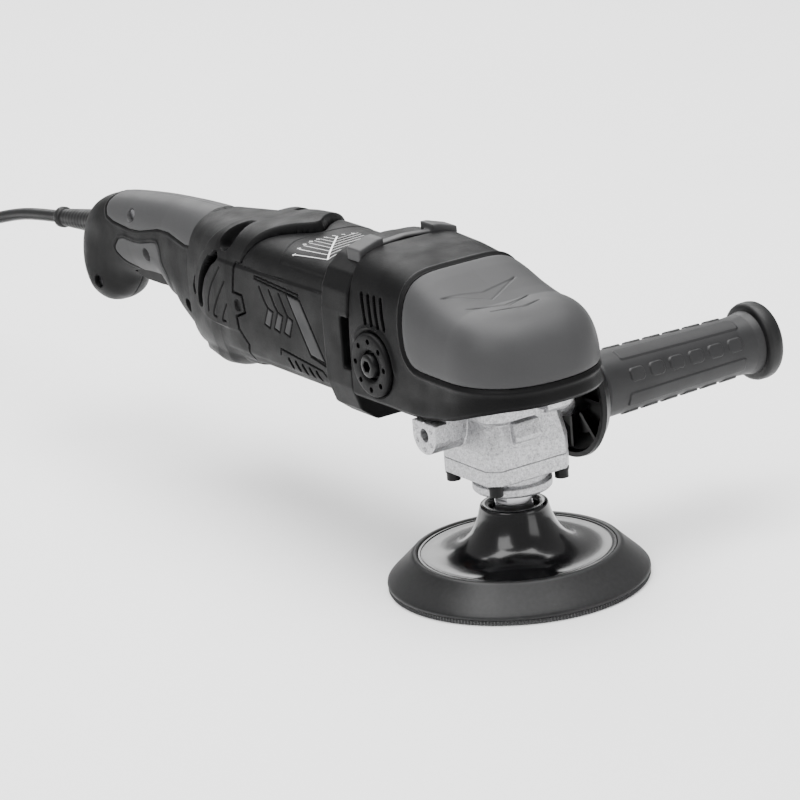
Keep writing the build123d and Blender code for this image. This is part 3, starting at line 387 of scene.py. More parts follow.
# ------------------------------------------------------------------ cord
CORD_R = 4.0
BOOT_TIP = (0, 494.64, 121.75)
ROUTE = [
    BOOT_TIP, (0, 532, 117.3), (-1, 561, 111), (-3, 590, 102.5), (-7, 619, 91.5), (-14, 646, 78),
    (-26, 670, 63), (-43, 688, 48.5), (-62, 698, 37.5),
]
COIL_X, COIL_Y = -72.0, 650.0
COLUMNS = [56.0, 48.0, 40.0]
LAYERS = [28.0, 20.0, 12.0, 4.2]
POINTS_PER_TURN = 24


def coil_points():
    """Turns laid side by side in layers, from the top outside to the bottom outside."""
    out = []
    angle = math.radians(90)
    step = 2 * math.pi / POINTS_PER_TURN
    for layer, z in enumerate(LAYERS):
        order = COLUMNS if layer % 2 == 0 else COLUMNS[::-1]
        for lap, radius in enumerate(order):
            following = order[lap + 1] if lap + 1 < len(order) else radius
            last_lap = lap + 1 == len(order)
            next_z = LAYERS[layer + 1] if layer + 1 < len(LAYERS) else z
            for k in range(POINTS_PER_TURN):
                late = max(0.0, (k - POINTS_PER_TURN + 5) / 5)
                r = radius + (following - radius) * late
                level = z + (next_z - z) * late if last_lap else z
                out.append((COIL_X + r * math.cos(angle), COIL_Y + r * math.sin(angle), level))
                angle += step
    for _ in range(POINTS_PER_TURN // 4):
        out.append((COIL_X + COLUMNS[0] * math.cos(angle), COIL_Y + COLUMNS[0] * math.sin(angle),
                    LAYERS[-1]))
        angle += step
    return out


PLUG_X, PLUG_Y, PLUG_Z = -128.0, 596.0, 8.3
TAIL = [(PLUG_X, 650, 4.2), (PLUG_X, 633, 4.2), (PLUG_X - 0.4, 621, 5.4), (PLUG_X, 608, PLUG_Z),
        (PLUG_X, PLUG_Y, PLUG_Z)]
cord_points = ROUTE + coil_points() + TAIL
curve = bpy.data.curves.new("cord", "CURVE")
curve.dimensions = "3D"
line = curve.splines.new("NURBS")
line.points.add(len(cord_points) - 1)
for point, at in zip(line.points, cord_points):
    point.co = (at[0] * MM, at[1] * MM, at[2] * MM, 1.0)
line.order_u = 3
line.use_endpoint_u = True
line.resolution_u = 6
curve.bevel_depth = CORD_R * MM
curve.bevel_resolution = 6
curve.use_fill_caps = True
curve.materials.append(CORD)
cord = bpy.data.objects.new("cord", curve)
bpy.context.scene.collection.objects.link(cord)
place(cord, "housing", "cord_rubber", "cord_lead", "cord_coil", "cord_tail")


# ------------------------------------------------------------------ backing plate
R_PLATE = 75.0
HOOK_TEETH = 240
HOOK_TOOTH = 0.45
turns = np.linspace(0, 2 * math.pi, HOOK_TEETH * 4, endpoint=False)
ripple = np.sin(HOOK_TEETH * turns)
wave = HOOK_TOOTH * np.sign(ripple) * np.abs(ripple) ** 0.5
hook_rings = []
for r, z, share in ((R_PLATE - 3, 2.5, 0.0), (R_PLATE - 0.9, 2.5, 0.6), (R_PLATE - 0.7, 1.6, 1.0),
                    (R_PLATE - 0.7, 0.7, 1.0), (R_PLATE - 1.3, 0.0, 0.8), (40, 0.0, 0.0)):
    reach = r + wave * share
    hook_rings.append(np.stack([reach * np.cos(turns), reach * np.sin(turns),
                                np.full_like(turns, z)], -1))
hook_rings = np.array(hook_rings)
count = len(turns)
hook_faces = []
for k in range(len(hook_rings) - 1):
    for i in range(count):
        i2 = (i + 1) % count
        hook_faces.append((k * count + i, k * count + i2, (k + 1) * count + i2, (k + 1) * count + i))
hook_faces.append(tuple(range(count)))
hook_faces.append(tuple((len(hook_rings) - 1) * count + i for i in range(count)))
hook = new_object("hook_layer", hook_rings.reshape(-1, 3), hook_faces, HOOK, 50)
place(hook, "spindle_assembly", "hook_fabric", "hook_face")

skirt_profile = [
    (0.01, 2.5), (73.6, 2.5), (74.6, 3.0), (75.0, 3.9), (74.9, 4.7), (74.2, 5.6), (73.0, 6.9), (68.0, 11.7),
    (62.6, 17.0), (61.0, 18.7), (60.2, 19.5), (59.2, 20.0), (57.6, 20.0), (57.0, 19.6), (57.0, 14.0),
    (0.01, 14.0),
]
skirt = lathe("plate_skirt_piece", skirt_profile, SKIRT, sharp=40)
place(skirt, "spindle_assembly", "black_rubber", "plate_skirt")

hub_curve = spline([(54.6, 19.25), (50, 18.95), (45, 19.2), (40, 20.0), (35, 21.8), (30.6, 24.6),
                    (26.6, 28.6), (23.6, 33.4), (21.4, 38.6), (20.1, 43.2), (19.6, 45.4)], 70)
hub_profile = [(0.01, 14.0), (56.8, 14.0), (56.8, 19.0), (56.4, 19.4), (55.3, 19.45), (54.9, 19.0)]
hub_profile += [tuple(p) for p in hub_curve[1:]]
hub_profile += [(19.35, 46.1), (18.7, 46.6), (17.0, 46.75), (15.6, 46.5), (14.4, 45.8), (13.6, 44.0),
                (13.4, 42.6), (11.1, 42.6), (11.1, 24.0), (0.01, 24.0)]
hub = lathe("plate_hub_piece", hub_profile, GLOSS, segments=256, sharp=40)
place(hub, "spindle_assembly", "gloss_black", "plate_hub")

# ------------------------------------------------------------------ hood and palm rest
HALF = 46.5
NOSE_Y = -9.0
REAR_Y = 85.5
DISC_Y, DISC_Z = 62.0, 125.5
PLAN_POWER = 2.3
SPINE_Y = [-60, -24, -9, 0, 10, 24, 38, 60, 86]
SPINE_Z = [165, 165, 166.2, 168.4, 171.5, 177.0, 181.0, 184.0, 185.4]
BRIM_Y = [-56, -45, -32, -14, 12, 36, 86]
BRIM_Z = [118.5, 117.6, 114.5, 109, 104, 102.6, 102]


def hood_grid(columns_side, columns_nose, rows):
    """Points of the hood's outer surface, from the left rear round the nose to the right rear."""
    outline, spine, nose_share = [], [], []
    for y in np.linspace(REAR_Y, NOSE_Y, columns_side, endpoint=False):
        outline.append((-HALF, y))
        spine.append((0, y))
        nose_share.append(0)
    for t in np.linspace(math.pi, 2 * math.pi, columns_nose):
        c, s = math.cos(t), math.sin(t)
        power = 2 / PLAN_POWER
        outline.append((HALF * math.copysign(abs(c) ** power, c),
                        NOSE_Y - HALF * abs(s) ** power))
        spine.append((0, NOSE_Y))
        nose_share.append(s * s)
    for y in np.linspace(NOSE_Y, REAR_Y, columns_side + 1)[1:]:
        outline.append((HALF, y))
        spine.append((0, y))
        nose_share.append(0)
    theta = np.linspace(0, math.pi / 2, 600)
    grid = np.zeros((len(outline), rows, 3))
    for k, ((px, py), (qx, qy), w) in enumerate(zip(outline, spine, nose_share)):
        n, m = 5 - 2.0 * w, 4 - 1.0 * w
        r = np.sin(theta) ** (2 / n)
        h = np.cos(theta) ** (2 / m)
        z_top = np.interp(qy, SPINE_Y, SPINE_Z)
        z_low = np.interp(py, BRIM_Y, BRIM_Z)
        reach = math.hypot(px - qx, py - qy)
        z = z_low + (z_top - z_low) * h
        step = np.r_[0, np.cumsum(np.hypot(np.diff(r) * reach, np.diff(z)))]
        at = np.linspace(0, step[-1], rows)
        rr, zz = np.interp(at, step, r), np.interp(at, step, z)
        grid[k, :, 0] = qx + (px - qx) * rr
        grid[k, :, 1] = qy + (py - qy) * rr
        grid[k, :, 2] = zz
    return grid


hood = hood_grid(210, 330, 190)
for _ in range(10):
    hood[1:-1] = 0.5 * hood[1:-1] + 0.25 * (hood[2:] + hood[:-2])
hood_n = normals_of(hood, np.array([0.0, 10.0, 110.0]))
hood_n[:, 0] = (0, 0, 1)
X, Y, Z = hood[..., 0], hood[..., 1], hood[..., 2]
PALM = rounded([(-90, 131), (12, 131), (22, 132.5), (29, 139), (32.5, 152), (35, 172), (37, 210),
                (-90, 210)], 2)
palm_d = inside(Y, Z, PALM)
brim_z = np.interp(Y, BRIM_Y, BRIM_Z)

hood_up = -3.4 * smooth(palm_d, -0.2, 0.7)
hood_up += 1.15 * np.exp(-((palm_d + 2.6) / 1.5) ** 2)
hood_up += 1.6 * (1 - smooth(Z - brim_z, 1, 12)) * (1 - smooth(Y, 20, 50))
hood_up -= 1.7 * (1 - smooth(Z - brim_z, 0, 2.4))
SLOT_LINES = []
for i in range(4):
    y = 54.3 + 6.2 * i
    SLOT_LINES.append([(y - 4.4, 148.4), (y + 1.2, 164.2)])
slot_cut = np.zeros_like(hood_up)
on_side = np.abs(X) > 36
for path in SLOT_LINES:
    near = line_distance(Y, Z, path)
    slot_cut = np.maximum(slot_cut, groove(near, 2.3, 2.6, 0.25) * on_side)
hood_up -= slot_cut
disc_near = np.hypot(Y - DISC_Y, Z - DISC_Z)
ridge = np.exp(-((disc_near - 21.4) / 1.3) ** 2)
ridge = ridge * smooth(Z - DISC_Z - 0.3 * (Y - DISC_Y), 2, 9) * on_side
hood_up += 1.3 * ridge
hood_up -= 0.9 * (1 - smooth(disc_near, 18.8, 19.8)) * on_side
keep = (palm_d < 3.0) & (slot_cut < 2.3)
outer = hood + hood_n * hood_up[..., None]
inner = hood - hood_n * 4.6
piece = shell("hood_shell", outer, inner, keep, BLACK, folded=True)
place(piece, "housing", "black_plastic", "hood")

palm_up = 1.0 * (1 - np.exp(-np.maximum(palm_d, 0) / 1.6)) - 3.0 * smooth(-palm_d, -0.5, 1.0)
CHEVRONS = [[(-30.5, 12), (-7, -3.4), (19, 11), (-7, 5.6)],
            [(-25.5, -5.5), (-4.5, -16.5), (13.5, -9), (-5, -13.4)],
            [(-18.2, -18.3), (1.1, -23.6), (13.2, -20), (0.8, -21.9)]]
on_top = smooth(hood_n[..., 2], 0.55, 0.8)
for wedge in CHEVRONS:
    palm_up -= 0.45 * smooth(inside(X, Y, wedge), -0.3, 0.5) * on_top
    palm_up -= groove(line_distance(X, Y, wedge[:3]), 1.0, 0.5, 0.45) * on_top
keep = palm_d > -0.9
piece = shell("palm_cover", hood + hood_n * palm_up[..., None], hood - hood_n * 3.2, keep, GREY,
              folded=True)
place(piece, "housing", "grey_grip", "palm_rest")

# ------------------------------------------------------------------ discs and bolts on the hood
DISC_HOLES = 8
DISC_HOLE_RING = 14.2
DISC_HOLE_R = 1.7
BOLT_HEX_R = 3.2
BOLT_HEX_CORNER = 3.7
for side, name in ((-1, "left"), (1, "right")):
    profile = [(8.7, 0.0), (18.6, 0.0), (18.6, 1.8), (17.9, 2.7), (16.9, 3.1), (10.8, 3.1), (9.8, 2.7),
               (8.7, 1.4)]
    disc = lathe("disc_" + name, profile, BLACK, axis="x", sharp=50)
    for vertex in disc.data.vertices:
        vertex.co.x *= side
    if side < 0:
        disc.data.flip_normals()
    holes = []
    low, high = sorted((side * 1.2, side * 6))
    for i in range(DISC_HOLES):
        t = 2 * math.pi * i / DISC_HOLES
        outline = circle(DISC_HOLE_RING * math.cos(t), DISC_HOLE_RING * math.sin(t), DISC_HOLE_R, 20)
        holes.append(prism("x", outline, low, high))
    for hole in holes:
        step = disc.modifiers.new("hole", "BOOLEAN")
        step.operation = "DIFFERENCE"
        step.solver = "EXACT"
        step.object = hole
    view = bpy.context.evaluated_depsgraph_get()
    disc.data = bpy.data.meshes.new_from_object(disc.evaluated_get(view))
    disc.modifiers.clear()
    for hole in holes:
        bpy.data.objects.remove(hole)
    shade(disc, 40)
    disc.data.transform(Matrix.Translation((side * (HALF - 0.2) * MM, DISC_Y * MM, DISC_Z * MM)))
    place(disc, "housing", "black_plastic", *(["hood_discs"] if side < 0 else []))
    head = lathe("bolt_" + name, [(0.01, 1.4), (3.2, 1.4), (3.2, 4.8), (4.4, 5.0), (6.2, 4.6), (7.0, 3.6),
                                  (7.0, -1.0), (5.2, -1.0), (5.2, -8.0), (0.01, -8.0)],
                 BLACK_SMOOTH, axis="x", segments=96, sharp=40)
    for vertex in head.data.vertices:
        radius = math.hypot(vertex.co.y, vertex.co.z)
        if abs(radius - BOLT_HEX_R * MM) < 1e-4:
            t = math.atan2(vertex.co.z, vertex.co.y)
            flat = math.cos(math.pi / 6) / math.cos((t % (math.pi / 3)) - math.pi / 6)
            vertex.co.y = BOLT_HEX_CORNER * flat * math.cos(t) * MM
            vertex.co.z = BOLT_HEX_CORNER * flat * math.sin(t) * MM
        vertex.co.x *= side
    if side < 0:
        head.data.flip_normals()
    head.data.transform(Matrix.Translation((side * HALF * MM, DISC_Y * MM, DISC_Z * MM)))
    place(head, "housing", "steel", *(["hood_bolts"] if side < 0 else []))

# ------------------------------------------------------------------ motor housing and rear cover
STATION_Y = [84, 200, 228, 242, 256, 272, 290]
HALF_W = [39, 39, 39, 38.4, 36.5, 33.4, 29.5]
TOP_Z = [172, 171, 169, 168.4, 167.6, 166.6, 165]
LOW_Z = [88, 88, 86.5, 82, 79, 78.6, 79]
POWER = [4.4, 4.4, 4.2, 3.8, 3.4, 3.0, 2.8]


def body_grid(y_values, angles):
    """Points round the body: one row for each y."""
    y = np.asarray(y_values, float)[:, None]
    w, top = np.interp(y, STATION_Y, HALF_W), np.interp(y, STATION_Y, TOP_Z)
    low, p = np.interp(y, STATION_Y, LOW_Z), np.interp(y, STATION_Y, POWER)
    c, s = np.cos(angles)[None, :], np.sin(angles)[None, :]
    x = w * np.sign(c) * np.abs(c) ** (2 / p)
    middle, height = (top + low) / 2, (top - low) / 2
    z = middle + height * np.sign(s) * np.abs(s) ** (2 / p)
    return np.stack([x, np.broadcast_to(y, x.shape), z], -1)


dense = np.linspace(0, 2 * math.pi, 6000)
ring_points = body_grid([150], dense)[0]
spacing = np.hypot(np.diff(ring_points[:, 0]), np.diff(ring_points[:, 2]))
weight = np.where(np.abs(ring_points[1:, 0]) > 37.0, 1.0, 0.45)
walk = np.r_[0, np.cumsum(spacing * weight)]
ANGLES = np.interp(np.linspace(0, walk[-1], 520, endpoint=False), walk, dense)
SEAM = [(217.6, 154), (218.2, 150.5), (220.7, 135.4), (210.6, 134.8), (208.4, 124.9), (218.5, 120.6),
        (217.3, 113.4), (208.6, 104.8), (212, 97), (212, 60)]
ARCH_X = [0, 3, 6, 9, 12, 15, 19, 23, 28, 33, 36, 38, 40]
ARCH_Y = [180.5, 181.4, 184, 187.2, 190, 192.4, 195.2, 197.8, 200.8, 204.5, 208, 212, 217.6]


MARKS = 3
MARK_Y, MARK_STEP = 191.9, 10.6


def seam_distance(P):
    """Distance from the joint between motor housing and rear cover, positive in front of it."""
    X, Y, Z = np.abs(P[..., 0]), P[..., 1], P[..., 2]
    side = inside(Y, Z, [(40, 154), (40, 60)] + SEAM[::-1])
    arch = (np.interp(X, ARCH_X, ARCH_Y) - Y) * 0.9
    near_sill = np.abs(Z - 154) < 0.6
    side = np.where(near_sill, np.where(Y < 217.6, 5.0, -5.0), side)
    return np.where(Z > 154, arch, side)


def body_details(P, N):
    """Displacement of the body's surface in mm, and where it is left open."""
    Y, Z = P[..., 1], P[..., 2]
    flank = smooth(np.abs(P[..., 0]), 33.5, 36.5)
    up = 0.9 * smooth(-(Z - 154.0 + 0.02 * (Y - 118)), -1.0, 1.2) * smooth(Z, 96, 100) \
        * (1 - smooth(Y, 224, 236))
    up = up - groove(np.abs(seam_distance(P)), 1.1, 1.8, 0.35)
    bar = inside(Y, Z, [(148, 145.6), (195, 148.4), (195, 150.2), (148, 147.8)])
    up = up - flank * groove(np.abs(bar), 0.9, 0.8)
    for i in range(MARKS):
        y0 = MARK_Y - MARK_STEP * i
        tip = (y0 - 9.6, 133.2 - 0.5 * i)
        up = up - flank * groove(line_distance(Y, Z, [(y0 - 6.3, 136.8), tip]), 1.1, 0.9)
        up = up - flank * groove(line_distance(Y, Z, [(y0 - 1.5, 144.5), (y0 - 6.3, 136.8)]), 1.1, 0.9)
        low_half = [tip, (y0 - 14.9, 131.6 - 0.5 * i), (y0 - 10.4, 120.8 - 0.5 * i),
                    (y0 - 4.6, 122.2 - 0.5 * i)]
        up = up - flank * groove(np.abs(inside(Y, Z, low_half)), 0.8, 0.7)
    panel = inside(Y, Z, [(161, 146.0), (146.5, 144.6), (123.5, 111.2), (139, 112.8)])
    up = up - flank * groove(np.abs(panel), 0.9, 0.8)
    up = up - flank * groove(line_distance(Y, Z, [(139, 112.4), (114, 107.6)]), 0.9, 0.8)
    up = up - flank * groove(line_distance(Y, Z, [(173, 106.8), (172, 110.2), (129, 105.6), (118, 97)]),
                             1.0, 0.9)
    louvre = np.zeros_like(up)
    for i in range(5):
        y0 = 165 - 7.2 * i
        path = [(y0, 105.2 - 0.5 * i), (y0 - 2.4, 100.6 - 0.5 * i)]
        louvre = np.maximum(louvre, groove(line_distance(Y, Z, path), 1.8, 2.6, 0.3) * flank)
    up = up - louvre
    label = inside(P[..., 0], Y, [(-35.5, 110), (35.5, 110), (35.5, 171), (20, 177.5), (0, 179.5),
                                  (-20, 177.5), (-35.5, 171)])
    up = up - 0.4 * smooth(label, -0.3, 0.3) * smooth(N[..., 2], 0.2, 0.3)
    return up, louvre > 2.2


def grey_inlays():
    """Panels of softer plastic set flush in the flanks, as (y, z) outlines."""
    shapes = [[(160, 145.2), (147, 143.9), (124.9, 112.0), (138.7, 113.6)]]
    for i in range(MARKS):
        y0 = MARK_Y - MARK_STEP * i
        shapes.append([(y0 - 10.1, 132.3 - 0.5 * i), (y0 - 14.2, 131.0 - 0.5 * i),
                       (y0 - 10.0, 121.6 - 0.5 * i), (y0 - 5.4, 122.9 - 0.5 * i)])
    return shapes


front_y = np.linspace(92, 236, 360)
P = body_grid(front_y, ANGLES)
N = normals_of(P.transpose(1, 0, 2), np.array([0.0, 150.0, 130.0]), wrap=True).transpose(1, 0, 2)
up, opened = body_details(P, N)
seam_side = seam_distance(P)
swap = (1, 0, 2)
outer = (P + N * up[..., None]).transpose(swap)
inner = (P - N * 3.0).transpose(swap)
keep = ((seam_side > -0.15) & ~opened).T
piece = shell("motor_shell", outer, inner, keep, BLACK, wrap=True)
place(piece, "housing", "black_plastic", "motor_housing")

for index, outline in enumerate(grey_inlays()):
    for side, label in ((-1, "left"), (1, "right")):
        pick = inside(P[..., 1], P[..., 2], outline)
        on = (pick > -0.2) & (P[..., 0] * side > 30)
        lift = 0.9 + 0.25 * smooth(pick, -0.2, 0.6)
        piece = shell(f"inlay_{label}_{index}", (P + N * lift[..., None]).transpose(swap),
                      (P + N * 0.2).transpose(swap), on.T, GREY_INLAY, wrap=True)
        place(piece, "housing", "grey_grip")

# white graph lines on the label: a fan of lines under a row of ticks


def body_top(x, y):
    """Point on the upper shoulder at this x and y."""
    w, top = np.interp(y, STATION_Y, HALF_W), np.interp(y, STATION_Y, TOP_Z)
    low, p = np.interp(y, STATION_Y, LOW_Z), np.interp(y, STATION_Y, POWER)
    middle, height = (top + low) / 2, (top - low) / 2
    return np.array([x, y, middle + height * (1 - abs(x / w) ** p) ** (1 / p)])


def print_line(ends, width):
    """Flat ribbon on the shoulder between two (x, y) points."""
    (x0, y0), (x1, y1) = ends
    t = np.linspace(0, 1, 14)
    run = np.array([x1 - x0, y1 - y0]) / math.hypot(x1 - x0, y1 - y0)
    across = np.array([-run[1], run[0]]) * width / 2
    points, faces = [], []
    for k, share in enumerate(t):
        x, y = x0 + (x1 - x0) * share, y0 + (y1 - y0) * share
        for sign in (-1, 1):
            points.append(body_top(x + sign * across[0], y + sign * across[1]) + (0, 0, -0.3))
        if k:
            faces.append((2 * k - 2, 2 * k - 1, 2 * k + 1, 2 * k))
    return points, faces


points, faces = [], []
graph = [((-26.8, 132.7), (1.4, 165.1), 1.1)]


def arch_y(x):
    return 162 + 6 * (1 - ((x + 9.5) / 21) ** 2)


for i in range(7):
    corner = (-26.8 + 4.0 * i, 132.7 + 4.6 * i)
    left = -30.4 + 4.4 * i
    graph.append(((left, arch_y(left)), corner, 0.4))
    graph.append((corner, (11 + 0.5 * i, 138.5 + 3.9 * i), 0.4))
for i in range(9):
    x0 = -30.4 + 5.2 * i
    graph.append(((x0 - 0.9, arch_y(x0) + 1.2), (x0 + 0.9, arch_y(x0) + 0.6), 0.5))
    graph.append(((x0 + 0.2, arch_y(x0) - 1.0), (x0 - 0.4, arch_y(x0) + 2.2), 0.4))
for (start, end, width) in graph:
    more, quads = print_line((start, end), width)
    faces += [tuple(len(points) + v for v in q) for q in quads]
    points += more
piece = new_object("label_graph", points, faces, PRINT)
place(piece, "housing", "black_plastic")

RIM = rounded([(150, 210), (238, 210), (239, 171), (250.5, 162), (264.5, 147), (275.5, 130), (272.5, 117.5),
               (254, 110.5), (217, 110.8), (150, 110.8)], 1)
FOOT = rounded([(214, 92), (219, 80), (230, 70), (291.5, 70), (291.5, 84), (262, 92)], 1)
rear_y = np.concatenate([np.linspace(156, 224, 110, endpoint=False), np.linspace(224, 290, 190)])
P = body_grid(rear_y, ANGLES)
N = normals_of(P.transpose(swap), np.array([0.0, 225.0, 130.0]), wrap=True).transpose(swap)
Yr, Zr = P[..., 1], P[..., 2]
flank = smooth(np.abs(P[..., 0]), 20, 27)
seam_side = seam_distance(P)
up = 0.9 * smooth(-(Zr - 152.0), -1.0, 1.2) * smooth(Zr, 96, 100) * (1 - smooth(Yr, 228, 244))
up -= groove(np.abs(seam_side), 1.1, 1.8, 0.35)
rim_d = inside(Yr, Zr, RIM)
up += (0.2 + 2.4 * smooth(Yr, 222, 256)) * smooth(rim_d, -0.5, 1.3)
behind = Yr - np.interp(np.abs(P[..., 0]), ARCH_X, ARCH_Y)
crest = smooth(behind, -0.6, 3.0) * (1 - 0.75 * smooth(behind, 16, 58)) * smooth(rim_d, -0.5, 1.5)
up += 5.6 * crest * (1 - (np.abs(P[..., 0]) / 40) ** 2.0).clip(0, 1) * smooth(Zr, 148, 170)
up += 2.2 * smooth(inside(Yr, Zr, FOOT), -1.0, 2.0) * (1 - smooth(Zr, 86, 94))
arcs = [[(234.5, 147.7), (245.4, 134), (250.2, 124), (250.8, 117.5)],
        [(229.4, 139.9), (238.4, 128.3), (244.6, 117.2), (241.6, 115.6)],
        [(228.6, 126), (234.6, 115.9), (231.2, 114.9)]]
for path in arcs:
    bent = [tuple(q) for q in spline(path, 24)]
    up -= flank * groove(line_distance(Yr, Zr, bent), 1.1, 1.0)
vents = np.zeros_like(up)
crescents = [[(255, 156.8), (265.4, 145), (271.4, 131), (270.6, 124.5)],
             [(247.6, 148.2), (256, 138.5), (261.6, 127), (262, 120.4)], [(240.5, 152.8), (244.5, 149.6)]]
for path, width in zip(crescents, (2.8, 6.2, 5.0)):
    bent = [tuple(q) for q in spline(path, 24)]
    vents = np.maximum(vents, flank * groove(line_distance(Yr, Zr, bent), width, 3.0, 0.35))
hole = np.hypot(((Yr - 231) * 0.86 + (163.5 - Zr) * 0.5) / 8.0,
                ((Yr - 231) * 0.5 - (163.5 - Zr) * 0.86) / 5.2)
bore = 6.5 * (1 - smooth(hole, 0.86, 1.04)) * smooth(np.abs(P[..., 0]), 14, 20)
up = up - vents * (1 + up.clip(0, 4) / 3.0) - bore
case_hole = np.hypot(Yr - 216.0, Zr - 128.0)
up -= 1.3 * (1 - smooth(case_hole, 3.2, 3.8)) * flank
keep = (seam_side < 0.15) & (vents < 2.6)
inner_depth = np.maximum(3.0, bore + 2.0)
piece = shell("rear_shell", (P + N * up[..., None]).transpose(swap),
              (P - N * inner_depth[..., None]).transpose(swap), keep.T, BLACK, wrap=True)
place(piece, "housing", "black_plastic", "rear_cover")

collar = remeshed("front_collar", "collar_band", BLACK, voxel=0.8, passes=6)
place(collar, "housing", "black_plastic", "front_collar")
bumper = remeshed("top_bumper", "bumper_tabs", GREY, voxel=0.4, passes=40)
place(bumper, "housing", "grey_grip", "top_bumper")

# ------------------------------------------------------------------ gear head
housing = remeshed("gear_housing", "gear_case", CAST, voxel=0.42, passes=3)
place(housing, "housing", "cast_aluminium", "gear_housing")
flange = remeshed("bearing_flange", "gear_flange", CAST, voxel=0.42, passes=3)
place(flange, "housing", "cast_aluminium", "bearing_flange")

# ------------------------------------------------------------------ rear handle
HANDLE_POWER = 2.35
HANDLE_ROWS = 110
OUTLINE = [
    (276, 164.5), (291, 165.6), (321, 164.6), (355, 162), (389, 158), (412, 154), (430, 147.6),
    (441.5, 139), (448.5, 127), (451.8, 114), (451.6, 102), (447, 91), (439, 83.6), (425, 80.7),
    (412, 85.4), (402, 94), (394.5, 103), (385, 107.5), (372, 109.8), (358, 110.8), (348, 110),
    (341, 104.5), (336, 100.4), (329, 98.4), (324.5, 92.5), (316, 87), (305, 81.5), (291, 80), (276, 80.5),
]
MIDDLE = spline([(276, 122), (300, 124.5), (330, 129.5), (360, 134), (392, 132.5), (414, 128), (427, 119),
                 (430.5, 108), (428, 99)], 200)
outline = spline(OUTLINE, 560)
nearest = np.argmin(((outline[:, None] - MIDDLE[None]) ** 2).sum(2), 1).astype(float)
for _ in range(260):
    nearest[1:-1] = 0.5 * nearest[1:-1] + 0.25 * (nearest[2:] + nearest[:-2])
middle = np.stack([np.interp(nearest, np.arange(len(MIDDLE)), MIDDLE[:, k]) for k in (0, 1)], 1)
theta = np.linspace(0, math.pi / 2, 400)
r = np.sin(theta) ** (2 / HANDLE_POWER)
h = np.cos(theta) ** (2 / HANDLE_POWER)
H = np.zeros((len(outline), HANDLE_ROWS, 3))
for k in range(len(outline)):
    cy, cz = middle[k]
    py, pz = outline[k]
    width = np.interp(cy, [276, 300, 340, 380, 460], [26.5, 24.0, 19.6, 17.6, 17.4])
    reach = math.hypot(py - cy, pz - cz)
    step = np.r_[0, np.cumsum(np.hypot(np.diff(r) * reach, np.diff(h) * width))]
    at = np.linspace(0, step[-1], HANDLE_ROWS)
    rr, hh = np.interp(at, step, r), np.interp(at, step, h)
    H[k, :, 0] = width * hh
    H[k, :, 1] = cy + (py - cy) * rr
    H[k, :, 2] = cz + (pz - cz) * rr
HN = normals_of(H, np.array([0.0, 360.0, 125.0]))
HN[:, 0] = (1, 0, 0)
Yh, Zh = H[..., 1], H[..., 2]
TOP_GRIP = rounded([(404.5, 141.3), (370.7, 139.2), (334.4, 148), (296.4, 143.2), (291.6, 152), (290.6, 176),
                    (398, 176), (407, 157), (411, 149)], 1)
SIDE_GRIP = rounded([(399.5, 123), (390.3, 132.4), (368, 132), (343, 138), (340, 134), (338.5, 125),
                     (331, 117), (333, 98), (376, 98), (378, 112.5), (390.2, 116)], 1)
grip_d = np.maximum(inside(Yh, Zh, TOP_GRIP), inside(Yh, Zh, SIDE_GRIP))
HANDLE_SCREWS = [(376, 148), (357, 127), (424, 96), (304, 106)]
pits = np.zeros_like(Yh)
for y, z in HANDLE_SCREWS:
    pits = np.maximum(pits, 5.5 * (1 - smooth(np.hypot(Yh - y, Zh - z), 3.3, 4.3)))
base_up = -2.2 * smooth(grip_d, -0.2, 0.6) + 0.35 * np.exp(-((grip_d + 1.5) / 0.9) ** 2)
TRIGGER_GAP = [(332, 70), (390.5, 70), (390.5, 118.6), (334, 118.6)]
NOTCH = [(439.5, 92.5), (447.5, 90), (470, 96), (470, 109), (448, 108.5), (441, 106)]
gap = (inside(Yh, Zh, TRIGGER_GAP) > 0) & (H[..., 0] < 8.3)
gap |= (inside(Yh, Zh, NOTCH) > 0) & (H[..., 0] < 5.2)
boot_d = np.hypot(H[..., 0], (Zh - 127.3))
gap |= (boot_d < 7.4) & (Yh > 436)
seam_line = 0.5 * (1 - smooth(H[..., 0], 0.15, 0.7))
for side, label in ((-1, "left"), (1, "right")):
    flip = np.array([side, 1, 1])
    deep = pits if side < 0 else np.zeros_like(pits)
    up = base_up - deep - seam_line
    floor = np.minimum(np.maximum(3.0, deep + 2.0), 12)
    keep = (grip_d < 2.6) & ~gap
    if side > 0:
        keep &= np.hypot(Yh - 404.0, Zh - 128.0) > 5.3
    piece = shell("handle_" + label, (H + HN * up[..., None]) * flip,
                  (H - HN * floor[..., None]) * flip, keep, BLACK, folded=True)
    place(piece, "housing", "black_plastic", "handle_shell_" + label)
    grip_up = 0.35 * (1 - np.exp(-np.maximum(grip_d, 0) / 1.2)) - 2.0 * smooth(-grip_d, -0.4, 0.9)
    grip_up = grip_up - deep - seam_line * 0.5
    piece = shell("grip_" + label, (H + HN * grip_up[..., None]) * flip,
                  (H - HN * np.maximum(2.2, deep + 1.5)[..., None]) * flip,
                  (grip_d > -0.8) & ~gap, GREY, folded=True)
    place(piece, "housing", "grey_grip", "handle_grip_" + label)

